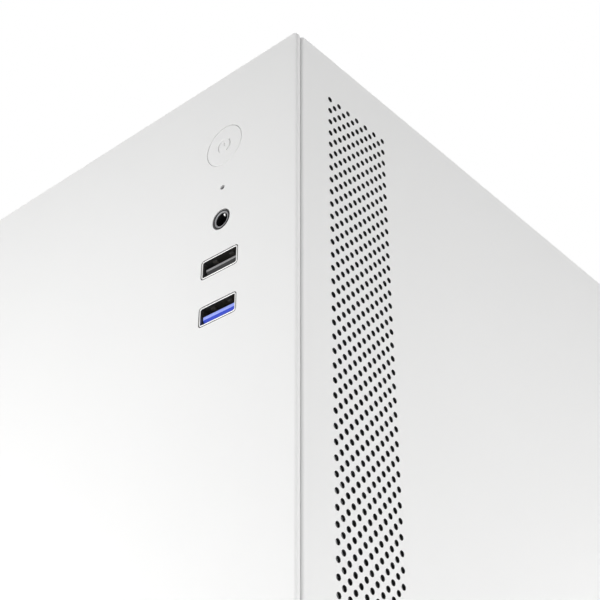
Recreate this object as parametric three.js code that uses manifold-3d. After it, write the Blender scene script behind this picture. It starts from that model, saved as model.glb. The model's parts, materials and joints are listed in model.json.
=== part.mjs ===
// Desktop computer tower: a white steel case with its front sockets, side vents and everything inside that makes it work.
// Millimetres, +Z up. The front faces -Y, +X is to the right of someone who looks at the front.
// Every piece is modelled in the case frame: y is the distance behind the front face, z the height above the desk.
import * as THREE from "three";
import { mergeVertices } from "three/addons/utils/BufferGeometryUtils.js";
import Module from "manifold-3d";

const wasm = await Module();
wasm.setup();

// ---------------------------------------------------------------- driving dimensions
const caseWidth = 190;
const bodyHeight = 375; // without the feet
const caseDepth = 350; // front face to the side panels' rear flanges
const footHeight = 12;
const sheet = 0.8; // steel sheet
const contact = 0.3; // gap between pieces that touch
const seam = 0.5; // gap that shows between outer panels

// Front panel
const frontSkin = 1.5;
const frontEdgeRadius = 1;
const panelCorner = 3; // corner radius of the outer panels, seen square on
const rimInset = 10.5; // from the panel's sides in to the stiffening rim
const rimWall = 1.6;
const rimDepth = 14.3;

// Side panels
const sideEdgeRadius = 1.6;
const sideFlange = 7;
const rearFlange = 18;
const railLip = 2.5; // the lip that runs in the rail
const railRelief = 6; // the front flange stops this far short of the rails

// Rails in the top cover and the base
const railDepth = 5;
const railGroove = 2.1;
const railLedge = 3.4;

// Chassis sheets
const frontSheetY = 41.2; // the fans' bulkhead
const frontLipY = 14.6;
const frontLipWidth = 6;
const sideSheetGap = 0.3; // between a chassis sheet's edge and the rail
const cableSpace = 22; // from the tray to the right side panel's outer face
const trayFrontY = 55;
const standoffLength = 6.05;
const shroudGap = 2.5; // between the supply and the shroud

// Front sockets, from the right side and the top of the front panel
const socketInset = 27.2;
const powerDrop = 27.2;
const ledDrop = 42.1;
const jackDrop = 53;
const usbLowDrop = 67.2;
const usbHighDrop = 82;
const buttonRadius = 6.6;
const buttonGap = 0.25;
const buttonTravel = 1.2;
const ledRadius = 0.6;
const jackRadius = 3;
const usbWidth = 13.1;
const usbHeight = 5.7;
const usbWall = 0.4;
const socketGap = 0.25;
const socketBoardY = 16;
const socketBoardWidth = 24;
const socketBoardThick = 1.6;
const plugDepth = 9; // from the board's face to the back of its cable's plug

// Motherboard, its sockets and what is plugged into them
const boardSize = 244;
const boardThick = 1.6;
const boardTopGap = 14;
const boardRearY = 345.5;
const ioLength = 158.75;
const ioWidth = 44.45;
const ioBelowBoard = 3.8;
const slotPitch = 20.32;
const slotCount = 4;
const slotOpening = 13.5;
const slotLength = 108;
const coverWidth = 18.4;
const cpuDrop = 84; // board's top edge to the processor
const cpuForward = 92; // rear edge to the processor
const cpuSize = 38;
const heatsinkSize = 90;
const heatsinkHeight = 32;
const finCount = 20;
const finThick = 1.4;
const memoryLength = 133;
const memoryPitch = 10;

// Fans
const bigFan = 120;
const smallFan = 92;
const fanDepth = 25;
const fanWall = 2;
const fanHub = 17.5;
const bladeGap = 1.4;
const axleRadius = 1.85;
const axleGap = 0.15;
const rearFanX = -32;
const rearFanDrop = 74;

// Power supply
const psuWidth = 150;
const psuHeight = 86;
const psuLength = 140;
const psuLift = 2.7; // held this far above the base by two ridges
const inletWidth = 27;
const inletHeight = 20;
const inletX = -50;
const inletBezel = 1.6; // stands this far out of the rear face
const rockerWidth = 19;
const rockerHeight = 13;
const rockerTilt = 8; // degrees either side of level
const rockerWall = 1.2; // of the housing that carries the rocker
const psuPortRise = 46.5; // from the supply's underside to the middle of its inlet

// Drives
const hardDrive = { width: 101.6, length: 147, height: 26 };
const solidDrive = { width: 70, length: 100, height: 7 };

// Feet, filter and thumbscrews
const footRadius = 13;
const footInsetX = 19;
const footInsetY = 28;
const filterHalfWidth = 57.5;
const filterLength = 168;
const filterThick = 3.6;
const filterTab = 5;
const thumbHead = 7.2;
const thumbLength = 6; // of the thread
const thumbRadius = 5.5;
const screwRadius = 1.6;
const thumbInset = 12;
const thumbDrop = 40;

// ---------------------------------------------------------------- places that follow from the sizes
const half = caseWidth / 2;
const zBottom = footHeight;
const zTop = footHeight + bodyHeight;
const thumbProud = contact + thumbHead;
const panelFrontY = frontSkin + seam;
const flangeX = half - sideFlange; // inner end of the side panels' flanges
const railX = flangeX - seam; // outer face of the rail's inner wall
const sheetX = railX - sheet - sideSheetGap; // half width of the chassis sheets
const rearSheetY = caseDepth - 2 * sheet - contact;
const innerBottom = zBottom + sheet;
const innerTop = zTop - sheet;
const socketX = half - socketInset;
const socketBoardZ = [zTop - usbHighDrop - 14, zTop - powerDrop + 12];
const plugFace = socketBoardY + plugDepth;
const trayX = half - cableSpace;
const boardX = trayX - standoffLength - contact - boardThick; // component side of the motherboard
const boardTop = zTop - boardTopGap;
const boardFrontY = boardRearY - boardSize;
const cpuY = boardRearY - cpuForward;
const cpuZ = boardTop - cpuDrop;
const ioTop = boardTop - 1;
const ioHighX = boardX + ioBelowBoard;
const firstSlotZ = ioTop - ioLength - 13;
const slotHighX = boardX - 3;
const psuFloor = innerBottom + psuLift;
const shroudZ = psuFloor + psuHeight + shroudGap;
const psuRearY = rearSheetY - contact;
const psuFrontY = psuRearY - psuLength;
const psuFanY = psuRearY - psuLength / 2;
const psuPortZ = psuFloor + psuPortRise;
const rockerZ = psuPortZ - inletHeight / 2 - 6 - rockerHeight / 2;
const rockerPivot = 2; // this far inside the rear face
const rearFanZ = zTop - rearFanDrop;
const upperFanZ = shroudZ + sheet + 185;
const lowerFanZ = upperFanZ - bigFan - 4;
const filterRearY = caseDepth - 2;

// ---------------------------------------------------------------- materials
const materials = {
  whitePaint: new THREE.MeshStandardMaterial({ color: 0xeeeeee, roughness: 0.45, metalness: 0.0 }),
  zincSteel: new THREE.MeshStandardMaterial({ color: 0xa9adb0, roughness: 0.42, metalness: 0.9 }),
  brightSteel: new THREE.MeshStandardMaterial({ color: 0xd0d2d4, roughness: 0.22, metalness: 1.0 }),
  aluminium: new THREE.MeshStandardMaterial({ color: 0xc4c7ca, roughness: 0.35, metalness: 1.0 }),
  blackPaint: new THREE.MeshStandardMaterial({ color: 0x17181a, roughness: 0.5, metalness: 0.0 }),
  blackPlastic: new THREE.MeshStandardMaterial({ color: 0x1b1c1e, roughness: 0.55, metalness: 0.0 }),
  whitePlastic: new THREE.MeshStandardMaterial({ color: 0xececec, roughness: 0.4, metalness: 0.0 }),
  greyPlastic: new THREE.MeshStandardMaterial({ color: 0x8d8f92, roughness: 0.5, metalness: 0.0 }),
  bluePlastic: new THREE.MeshStandardMaterial({ color: 0x1f45d8, roughness: 0.4, metalness: 0.0 }),
  greenBoard: new THREE.MeshStandardMaterial({ color: 0x1d3b2c, roughness: 0.4, metalness: 0.0 }),
  rubber: new THREE.MeshStandardMaterial({ color: 0x202123, roughness: 0.85, metalness: 0.0 }),
  smokedPlastic: new THREE.MeshStandardMaterial({ color: 0x3c3e41, roughness: 0.3, metalness: 0.0 }),
  cableSleeve: new THREE.MeshStandardMaterial({ color: 0x141416, roughness: 0.75, metalness: 0.0 }),
};

// ---------------------------------------------------------------- solids
/** A manifold solid from a closed three.js geometry. */
function solidOf(geometry) {
  const bare = geometry.clone();
  bare.deleteAttribute("normal");
  bare.deleteAttribute("uv");
  const merged = mergeVertices(bare, 1e-4);
  return new wasm.Manifold(
    new wasm.Mesh({
      numProp: 3,
      vertProperties: new Float32Array(merged.attributes.position.array),
      triVerts: new Uint32Array(merged.index.array),
    }),
  );
}

/** A three.js geometry from a manifold solid. */
function geometryOf(solid) {
  const mesh = solid.getMesh();
  const positions = new Float32Array(mesh.numVert * 3);
  for (let i = 0; i < mesh.numVert; i++) {
    const start = i * mesh.numProp;
    positions.set(mesh.vertProperties.subarray(start, start + 3), i * 3);
  }
  const geometry = new THREE.BufferGeometry();
  geometry.setAttribute("position", new THREE.BufferAttribute(positions, 3));
  geometry.setIndex(new THREE.BufferAttribute(mesh.triVerts, 1));
  geometry.computeVertexNormals();
  return geometry;
}

/** A box between two values on each axis, given in either order. */
function box([x0, x1], [y0, y1], [z0, z1]) {
  const size = [Math.abs(x1 - x0), Math.abs(y1 - y0), Math.abs(z1 - z0)];
  const geometry = new THREE.BoxGeometry(...size);
  return solidOf(geometry.translate((x0 + x1) / 2, (y0 + y1) / 2, (z0 + z1) / 2));
}

// How a flat outline (u, v) and its thickness w lie in space: across x it is (y, z), across y (x, z), across z (x, y).
const bases = {
  x: [new THREE.Vector3(0, 1, 0), new THREE.Vector3(0, 0, 1), new THREE.Vector3(1, 0, 0)],
  y: [new THREE.Vector3(1, 0, 0), new THREE.Vector3(0, 0, 1), new THREE.Vector3(0, -1, 0)],
  z: [new THREE.Vector3(1, 0, 0), new THREE.Vector3(0, 1, 0), new THREE.Vector3(0, 0, 1)],
};

/** An outline extruded across an axis from low to high; bevel rounds both ends' edges, inside the outline. */
function extrude(shape, axis, [low, high], { bevel = 0, curveSegments = 4, bevelSegments = 3 } = {}) {
  const geometry = new THREE.ExtrudeGeometry(shape, {
    depth: high - low - 2 * bevel,
    steps: 1,
    curveSegments,
    bevelEnabled: bevel > 0,
    bevelThickness: bevel,
    bevelSize: bevel,
    bevelOffset: -bevel,
    bevelSegments,
  });
  geometry.translate(0, 0, bevel);
  geometry.applyMatrix4(new THREE.Matrix4().makeBasis(...bases[axis]));
  const start = axis === "y" ? high : low;
  return solidOf(geometry.translate(...["x", "y", "z"].map((a) => (a === axis ? start : 0))));
}

/** A rectangle with round corners between two values on each axis. */
function roundedRectangle([u0, u1], [v0, v1], radius) {
  const shape = new THREE.Shape();
  shape.moveTo(u0 + radius, v0);
  shape.lineTo(u1 - radius, v0);
  shape.absarc(u1 - radius, v0 + radius, radius, -Math.PI / 2, 0);
  shape.lineTo(u1, v1 - radius);
  shape.absarc(u1 - radius, v1 - radius, radius, 0, Math.PI / 2);
  shape.lineTo(u0 + radius, v1);
  shape.absarc(u0 + radius, v1 - radius, radius, Math.PI / 2, Math.PI);
  shape.lineTo(u0, v0 + radius);
  shape.absarc(u0 + radius, v0 + radius, radius, Math.PI, (3 * Math.PI) / 2);
  return shape;
}

/** A polygon from a list of (u, v) points. */
function polygon(points) {
  return new THREE.Shape(points.map(([u, v]) => new THREE.Vector2(u, v)));
}

/** A cylinder along an axis, at (u, v) across it. */
function cylinder(radius, axis, [u, v], [low, high], segments = 16) {
  const points = Array.from({ length: segments }, (_, i) => {
    const angle = (i * 2 * Math.PI) / segments;
    return [u + radius * Math.cos(angle), v + radius * Math.sin(angle)];
  });
  return extrude(polygon(points), axis, [low, high]);
}

/** A turned solid about +Z from a profile of (radius, height) points that starts and ends on the axis. */
function turned(profile, segments) {
  const points = profile.map(([r, z]) => new THREE.Vector2(r, z));
  return solidOf(new THREE.LatheGeometry(points, segments).rotateX(Math.PI / 2));
}

/** A ring about +Z with a square section. */
function ring(radius, wire, low, segments) {
  const outer = cylinder(radius + wire / 2, "z", [0, 0], [low, low + wire], segments);
  return outer.subtract(cylinder(radius - wire / 2, "z", [0, 0], [low - 1, low + wire + 1], segments));
}

/** All the given solids joined into one. */
function join(...solids) {
  return solids.flat().reduce((whole, next) => whole.add(next));
}

/** The first solid with all the others cut out of it. */
function cut(solid, ...tools) {
  return tools.flat().reduce((rest, tool) => rest.subtract(tool), solid);
}

/** The solid and its mirror image across the x = 0 plane. */
function bothSides(solid) {
  return [solid, solid.mirror([1, 0, 0])];
}

const tower = new THREE.Group();
tower.position.y = -(caseDepth + thumbProud) / 2; // the bounding box is centred on the origin

/** Adds a named mesh to a group and returns it. */
function piece(parent, name, solid, material) {
  const mesh = new THREE.Mesh(geometryOf(solid), material);
  mesh.name = name;
  parent.add(mesh);
  return mesh;
}

/** A group in the case frame for one sub-assembly. */
function subAssembly(position = [0, 0, 0]) {
  const group = new THREE.Group();
  group.position.set(...position);
  tower.add(group);
  return group;
}

// ---------------------------------------------------------------- outer panels
/** The front skin with its stiffening rim and the holes for the sockets. */
function frontPanel() {
  const outline = roundedRectangle([-half, half], [zBottom, zTop], panelCorner);
  const blank = extrude(outline, "y", [0, 4 * frontEdgeRadius], { bevel: frontEdgeRadius });
  const skin = cut(blank, box([-half - 1, half + 1], [frontSkin, 10], [zBottom - 1, zTop + 1]));

  const rimX = half - rimInset;
  const rimZ = [innerBottom + rimInset, innerTop - rimInset];
  const rim = cut(
    box([-rimX, rimX], [frontSkin - 0.5, rimDepth], rimZ),
    box([-rimX + rimWall, rimX - rimWall], [0, rimDepth + 1], [rimZ[0] + rimWall, rimZ[1] - rimWall]),
  );
  const through = [-1, 10];
  const usbHole = (drop) =>
    extrude(
      roundedRectangle(
        [socketX - usbWidth / 2 - socketGap, socketX + usbWidth / 2 + socketGap],
        [zTop - drop - usbHeight / 2 - socketGap, zTop - drop + usbHeight / 2 + socketGap],
        1,
      ),
      "y",
      through,
      { curveSegments: 2 },
    );
  return cut(
    join(skin, rim),
    cylinder(buttonRadius + buttonGap, "y", [socketX, zTop - powerDrop], through, 32),
    cylinder(ledRadius + 0.15, "y", [socketX, zTop - ledDrop], through, 10),
    cylinder(jackRadius + socketGap, "y", [socketX, zTop - jackDrop], through, 24),
    usbHole(usbLowDrop),
    usbHole(usbHighDrop),
  );
}

/** The right-hand side panel: a shallow pan that slides on rails from the rear, with holes for its two thumbscrews. */
function sidePanel() {
  const ySpan = [panelFrontY, caseDepth];
  const zSpan = [zBottom, zTop];
  const inset = ([low, high]) => [low + sheet, high - sheet];
  const blank = extrude(
    roundedRectangle(ySpan, zSpan, panelCorner),
    "x",
    [half - 2 * rearFlange, half],
    { bevel: sideEdgeRadius, curveSegments: 3, bevelSegments: 2 },
  );
  const pocket = extrude(
    roundedRectangle(inset(ySpan), inset(zSpan), panelCorner - sheet),
    "x",
    [0, half - sheet],
    { bevel: sideEdgeRadius - sheet, curveSegments: 2, bevelSegments: 1 },
  );
  const flangeTrim = box([0, flangeX], [-1, caseDepth - sheet], [zBottom - 1, zTop + 1]);
  const rearTrim = box([0, half - rearFlange], [0, caseDepth + 1], [zBottom - 1, zTop + 1]);
  const reliefY = [panelFrontY - 1, panelFrontY + panelCorner + contact];
  const railReliefs = [
    [innerBottom, innerBottom + railRelief],
    [innerTop - railRelief, innerTop],
  ].map((z) => box([flangeX - 1, half - sideEdgeRadius], reliefY, z));
  const lipY = [panelFrontY + railRelief, caseDepth - railRelief]; // of the lips that run in the rails
  const lips = [
    box([flangeX, flangeX + sheet], lipY, [innerTop - railLip, innerTop + sheet / 2]),
    box([flangeX, flangeX + sheet], lipY, [innerBottom - sheet / 2, innerBottom + railLip]),
  ];
  const pan = join(cut(blank, pocket, flangeTrim, rearTrim, railReliefs), lips);
  const holes = thumbscrewHeights().map((z) =>
    cylinder(screwRadius + 0.5, "y", [half - thumbInset, z], [caseDepth - 2, caseDepth + 1], 12),
  );
  return cut(pan, holes);
}

/** Heights of the two thumbscrews that hold a side panel. */
function thumbscrewHeights() {
  return [zBottom + thumbDrop, zTop - thumbDrop];
}

/** The section of the rail on the right: down from the plate, along the groove's floor, up and out to the ledge. */
function railSection() {
  const grooveHigh = railX + railGroove;
  const ledgeTop = innerTop - contact;
  return polygon([
    [railX - sheet, zTop - sheet / 2],
    [railX - sheet, zTop - railDepth],
    [grooveHigh + sheet, zTop - railDepth],
    [grooveHigh + sheet, ledgeTop - sheet],
    [grooveHigh + railLedge, ledgeTop - sheet],
    [grooveHigh + railLedge, ledgeTop],
    [grooveHigh, ledgeTop],
    [grooveHigh, zTop - railDepth + sheet],
    [railX, zTop - railDepth + sheet],
    [railX, zTop - sheet / 2],
  ]);
}

/** A flat plate with a rail along each side: the top cover, or the base when it is turned over. */
function railedPlate() {
  const span = [panelFrontY, rearSheetY + sheet];
  const plate = box([-railX, railX], span, [zTop - sheet, zTop]);
  return join(plate, ...bothSides(extrude(railSection(), "y", [span[0] + panelCorner, span[1] - panelCorner])));
}

/** The base: the railed plate turned over, with air slots under the power supply, ridges and the filter's guides. */
function chassisBase() {
  const middle = (zTop + zBottom) / 2;
  const plate = railedPlate().translate([0, 0, -middle]).mirror([0, 0, 1]).translate([0, 0, middle]);
  const ridges = bothSides(
    box([66, 72], [psuFrontY + 6, psuRearY - 6], [innerBottom - sheet / 2, psuFloor - contact]),
  );
  const guideTop = zBottom + sheet / 2;
  const guideX = filterHalfWidth + contact;
  const guideY = [filterRearY - filterLength, filterRearY];
  const guideLow = zBottom - filterThick - 3 * contact - sheet;
  const guides = bothSides(
    join(
      box([guideX, guideX + sheet], guideY, [guideLow, guideTop]),
      box([guideX - 3, guideX + sheet], guideY, [guideLow, guideLow + sheet]),
    ),
  );
  const slots = Array.from({ length: 9 }, (_, i) => {
    const y = psuFanY + (i - 4) * 12;
    return box([-50, 50], [y - 4, y + 4], [zBottom - 1, innerBottom + 1]);
  });
  return cut(join(plate, ...ridges, ...guides), slots);
}

// ---------------------------------------------------------------- chassis
/** The bulkhead behind the front panel: two fan openings, and side walls with air windows behind the side vents. */
function chassisFront() {
  const zSpan = [innerBottom + contact, innerTop - contact];
  const bulkhead = box([-sheetX, sheetX], [frontSheetY, frontSheetY + sheet], zSpan);
  const fanHoles = [upperFanZ, lowerFanZ].map((z) =>
    cylinder(bigFan / 2 - fanWall, "y", [0, z], [frontSheetY - 1, frontSheetY + 2], 32),
  );
  const cableHole = box([sheetX - 14.4, sheetX - 4.4], [frontSheetY - 1, frontSheetY + 2], [zTop - 75, zTop - 45]);
  const driveVent = box([-55, 55], [frontSheetY - 1, frontSheetY + 2], [zBottom + 22, zBottom + 70]);

  const wall = join(
    box([sheetX - sheet, sheetX], [frontLipY, frontSheetY + sheet], zSpan),
    box([sheetX - frontLipWidth, sheetX], [frontLipY, frontLipY + sheet], zSpan),
  );
  const windows = [
    // y from, y to, drop from, drop to
    [19, 38, 50, 117],
    [28, 35, 123, 250],
    [19, 38, 256, 326],
  ].map(([y0, y1, high, low]) => box([sheetX - 2, sheetX + 1], [y0, y1], [zTop - low, zTop - high]));
  const walls = bothSides(cut(wall, windows));
  const bracketY = socketBoardY + socketBoardThick + contact;
  const bracket = cut(
    box([socketX - socketBoardWidth / 2, sheetX], [bracketY, bracketY + sheet], socketBoardZ),
    box([socketX - 10.5, socketX + 10.5], [bracketY - 1, bracketY + 2], [socketBoardZ[0] - 1, socketBoardZ[0] + 12.5]),
  );
  return join(cut(bulkhead, fanHoles, cableHole, driveVent), ...walls, bracket);
}

/** The rear sheet with its openings: sockets, expansion slots, fan, power supply and the panels' screws. */
function chassisRear() {
  const zSpan = [innerBottom + contact, innerTop - contact];
  const ySpan = [rearSheetY, rearSheetY + sheet];
  const through = [rearSheetY - 1, rearSheetY + 2];
  const plate = box([-sheetX, sheetX], ySpan, zSpan);
  const ioHole = box([ioHighX - ioWidth, ioHighX], through, [ioTop - ioLength, ioTop]);
  const slots = slotHeights().map((z) =>
    box([slotHighX - slotLength, slotHighX], through, [z - slotOpening / 2, z + slotOpening / 2]),
  );
  const fanHole = cylinder(smallFan / 2 - fanWall, "y", [rearFanX, rearFanZ], through, 32);
  const psuHole = box([-psuWidth / 2 + 5, psuWidth / 2 - 5], through, [psuFloor + 5, psuFloor + psuHeight - 5]);
  const screwHoles = [-1, 1].flatMap((side) =>
    thumbscrewHeights().map((z) =>
      cylinder(screwRadius + 0.3, "y", [side * (half - thumbInset), z], through, 12),
    ),
  );
  return cut(plate, ioHole, slots, fanHole, psuHole, screwHoles);
}

/** Heights of the expansion slots, from the top down. */
function slotHeights() {
  return Array.from({ length: slotCount }, (_, i) => firstSlotZ - i * slotPitch);
}

/** The tray that carries the motherboard on its standoffs, with a window behind the processor and cable holes. */
function motherboardTray() {
  const trayZ = [shroudZ + sheet + contact, innerTop - contact];
  const plate = box([trayX, trayX + sheet], [trayFrontY, rearSheetY - contact], trayZ);
  const through = [trayX - 1, trayX + 2];
  const opening = (y, z, radius) => extrude(roundedRectangle(y, z, radius), "x", through, { curveSegments: 2 });
  const openings = [
    opening([cpuY - 24, cpuY + 44], [cpuZ - 32, cpuZ + 44], 8),
    opening([boardFrontY - 26, boardFrontY - 8], [cpuZ - 90, cpuZ - 30], 8),
    opening([boardFrontY - 26, boardFrontY - 8], [shroudZ + 18, shroudZ + 66], 8),
    box(through, [cpuY + 10, cpuY + 50], [boardTop + 2, zTop]),
  ];
  const standoffRows = [6, 122, 238];
  const standoffs = standoffRows.flatMap((down) =>
    standoffRows.map((forward) =>
      cylinder(2.6, "x", [boardRearY - forward, boardTop - down], [trayX - standoffLength, trayX + sheet / 2], 6),
    ),
  );
  return join(cut(plate, openings), standoffs);
}

/** The shelf over the power supply, with a skirt that hides it from the left. */
function psuShroud() {
  const ySpan = [frontSheetY + sheet + contact, rearSheetY - contact];
  const shelf = box([-sheetX, sheetX], ySpan, [shroudZ, shroudZ + sheet]);
  const skirtY = [ySpan[0], caseDepth - thumbLength - 4];
  const skirt = box([-sheetX, -sheetX + sheet], skirtY, [innerBottom + contact, shroudZ + sheet]);
  const cableSlot = box([45, 66], [110, 190], [shroudZ - 1, shroudZ + 2]);
  const rearCableSlot = box([trayX + 1.5, sheetX + 1], [90, 250], [shroudZ - 1, shroudZ + 2]);
  return cut(join(shelf, skirt), cableSlot, rearCableSlot);
}

// Drive cage
const cageX = -8;
const cageFloor = innerBottom + contact;
const driveFloor = cageFloor + sheet + 5;
const driveY = [56, 56 + hardDrive.length];

/** A steel tube, open at both ends, that holds the hard drive. */
function driveCage() {
  const wallX = hardDrive.width / 2 + contact;
  const ySpan = [driveY[0] - 3, driveY[1] + 1];
  const roof = driveFloor + hardDrive.height + 3;
  const tube = cut(
    box([cageX - wallX - sheet, cageX + wallX + sheet], ySpan, [cageFloor, roof + sheet]),
    box([cageX - wallX, cageX + wallX], [0, caseDepth], [cageFloor + sheet, roof]),
  );
  const rails = [-1, 1].map((side) =>
    box(
      [cageX + side * wallX, cageX + side * (wallX - 8)],
      ySpan,
      [cageFloor + sheet / 2, driveFloor - contact],
    ),
  );
  return join(tube, ...rails);
}

/** A 3.5-inch drive: a cast body with a stepped lid. */
function hardDriveSolid() {
  const x = [cageX - hardDrive.width / 2, cageX + hardDrive.width / 2];
  const body = box(x, driveY, [driveFloor, driveFloor + hardDrive.height - 2]);
  const top = driveFloor + hardDrive.height;
  return join(body, box([x[0] + 3, x[1] - 3], [driveY[0] + 4, driveY[1] - 10], [top - 3, top]));
}

// ---------------------------------------------------------------- fans
/** A fan's frame about +Z, from z = 0 at its outlet: a square duct with four arms that carry the motor. */
function fanFrame(size) {
  const edge = size / 2;
  const duct = cut(
    extrude(roundedRectangle([-edge, edge], [-edge, edge], 5), "z", [0, fanDepth], { curveSegments: 2 }),
    cylinder(edge - fanWall, "z", [0, 0], [-1, fanDepth + 1], 28),
  );
  const arm = box([0, edge - fanWall / 2], [-2.5, 2.5], [0, 3]);
  const arms = [45, 135, 225, 315].map((angle) => arm.rotate([0, 0, angle]));
  const motorPlate = cylinder(fanHub + 1, "z", [0, 0], [0, 3], 20);
  const bore = cylinder(axleRadius + axleGap, "z", [0, 0], [-1, 4], 12);
  return cut(join(duct, motorPlate, ...arms), bore);
}

/** A fan's rotor about +Z: a hub on its axle with pitched blades. */
function fanRotor(size, bladeCount) {
  const tip = size / 2 - fanWall - bladeGap;
  const hub = cylinder(fanHub, "z", [0, 0], [3.6, fanDepth - 2], 20);
  const axle = cylinder(axleRadius, "z", [0, 0], [0.6, 4], 12);
  const chord = 0.62 * (2 * Math.PI * 0.6 * tip) / bladeCount;
  const blade = box([fanHub - 3, tip - 1], [-chord / 2, chord / 2], [-0.7, 0.7])
    .rotate([32, 0, 0])
    .translate([0, 0, (fanDepth + 2) / 2]);
  const reach = cylinder(tip, "z", [0, 0], [4.2, fanDepth - 1.5], 28);
  const blades = Array.from({ length: bladeCount }, (_, i) => blade.rotate([0, 0, (i * 360) / bladeCount]));
  return join(hub, axle, join(...blades).intersect(reach));
}

/** A wire guard about +Z, from z = 0: rings on two crossed wires. */
function fanGuard(size, radii) {
  const wire = 1;
  const rings = radii.map((radius) => ring(radius, wire, 0, 16));
  const reach = size / 2 - 3;
  const spokes = [45, 135].map((angle) => box([-reach, reach], [-0.6, 0.6], [0, wire]).rotate([0, 0, angle]));
  return join(...rings, ...spokes);
}

/** A complete fan in a group of its own: frame and rotor, blowing towards the group's -Z. */
function addFan(name, suffix, size, bladeCount, position, rotation) {
  const group = subAssembly(position);
  group.rotation.set(...rotation);
  piece(group, `${name}_frame${suffix}`, fanFrame(size), materials.blackPlastic);
  piece(group, `${name}_rotor${suffix}`, fanRotor(size, bladeCount), materials.blackPlastic);
  return group;
}

// ---------------------------------------------------------------- front sockets
/** The button's cap with its retaining flange and stem. */
function powerButtonCap(z) {
  const flangeY = frontSkin + contact;
  const stemEnd = socketBoardY - 6.1;
  return join(
    cylinder(buttonRadius, "y", [socketX, z], [0, flangeY + 0.5], 32),
    cylinder(buttonRadius + 1.4, "y", [socketX, z], [flangeY, flangeY + 1], 32),
    cylinder(1.5, "y", [socketX, z], [flangeY + 0.5, stemEnd], 12),
  );
}

/** The return spring about the stem, between the flange and the board. */
function powerButtonSpring(z) {
  const turns = 4;
  const wire = 0.35;
  const coilRadius = 5.4;
  const start = frontSkin + contact + 1 + contact + wire;
  const length = socketBoardY - contact - wire - start;
  class Helix extends THREE.Curve {
    getPoint(t) {
      const angle = t * turns * 2 * Math.PI;
      const x = socketX + coilRadius * Math.cos(angle);
      return new THREE.Vector3(x, start + t * length, z + coilRadius * Math.sin(angle));
    }
  }
  const section = new THREE.Shape().absarc(0, 0, wire, 0, 2 * Math.PI);
  return solidOf(
    new THREE.ExtrudeGeometry(section, { steps: 40, extrudePath: new Helix(), curveSegments: 3 }),
  );
}

/** The tactile switch's housing, with the well that its plunger moves in. */
function powerSwitchBody(z) {
  const front = socketBoardY - 4.3;
  return cut(
    box([socketX - 3, socketX + 3], [front, socketBoardY - contact], [z - 3, z + 3]),
    cylinder(2, "y", [socketX, z], [front - 1, socketBoardY - 1.4], 12),
  );
}

/** The switch's plunger, which the stem pushes. */
function powerSwitchPlunger(z) {
  const tip = socketBoardY - 6.1 + contact;
  return cylinder(1.7, "y", [socketX, z], [tip, tip + 2.4], 12);
}

/** The status light's pipe: a wide stem behind the panel and a thin tip in its hole. */
function powerLed(z) {
  return join(
    cylinder(1.5, "y", [socketX, z], [frontSkin + contact, socketBoardY - contact], 10),
    cylinder(ledRadius, "y", [socketX, z], [0.3, frontSkin + 1], 10),
  );
}

/** The headphone socket: a round collar on a square body, bored for the plug. */
function audioJack(z) {
  return cut(
    join(
      cylinder(jackRadius, "y", [socketX, z], [0, 4], 24),
      box([socketX - 4.5, socketX + 4.5], [frontSkin + 1, socketBoardY - contact], [z - 4.5, z + 4.5]),
    ),
    cylinder(1.8, "y", [socketX, z], [-1, socketBoardY - 2], 16),
  );
}

/** A USB socket's steel shell, open at the front. */
function usbShell(z) {
  const outline = (inset, radius) =>
    roundedRectangle(
      [socketX - usbWidth / 2 + inset, socketX + usbWidth / 2 - inset],
      [z - usbHeight / 2 + inset, z + usbHeight / 2 - inset],
      radius,
    );
  return cut(
    extrude(outline(0, 0.8), "y", [0, socketBoardY - contact], { curveSegments: 2 }),
    extrude(outline(usbWall, 0.4), "y", [-1, socketBoardY - contact - sheet], { curveSegments: 1 }),
  );
}

/** The insert inside a USB shell: a block at the back with the contact tongue low in the opening. */
function usbTongue(z) {
  const low = z - usbHeight / 2 + usbWall;
  const back = socketBoardY - 2 * contact - sheet;
  return join(
    box([socketX - 5.6, socketX + 5.6], [0.8, back], [low + 0.6, low + 2.5]),
    box([socketX - 5.8, socketX + 5.8], [back - 4, back], [low + contact, low + 4.6]),
  );
}

/** The board behind the front panel and everything on it. */
function addFrontSockets() {
  const group = subAssembly();
  const boardX0 = socketX - socketBoardWidth / 2;
  const board = join(
    box([boardX0, boardX0 + socketBoardWidth], [socketBoardY, socketBoardY + socketBoardThick], socketBoardZ),
    box([socketX - 10, socketX + 10], [socketBoardY + 1, plugFace], [socketBoardZ[0] + 3, socketBoardZ[0] + 12]),
  );
  piece(group, "front_io_board", board, materials.greenBoard);
  piece(group, "power_button_cap", powerButtonCap(zTop - powerDrop), materials.whitePlastic);
  piece(group, "power_button_spring", powerButtonSpring(zTop - powerDrop), materials.brightSteel);
  piece(group, "power_switch_body", powerSwitchBody(zTop - powerDrop), materials.blackPlastic);
  piece(group, "power_switch_plunger", powerSwitchPlunger(zTop - powerDrop), materials.greyPlastic);
  piece(group, "power_led", powerLed(zTop - ledDrop), materials.smokedPlastic);
  piece(group, "audio_jack", audioJack(zTop - jackDrop), materials.blackPlastic);
  piece(group, "usb2_shell", usbShell(zTop - usbLowDrop), materials.brightSteel);
  piece(group, "usb2_tongue", usbTongue(zTop - usbLowDrop), materials.greyPlastic);
  piece(group, "usb3_shell", usbShell(zTop - usbHighDrop), materials.brightSteel);
  piece(group, "usb3_tongue", usbTongue(zTop - usbHighDrop), materials.bluePlastic);
}

// ---------------------------------------------------------------- motherboard
const socketHeight = 4.5; // of the processor's socket
const cpuThick = 3;
const memoryY = (index) => cpuY - 66 - index * memoryPitch;

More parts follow.
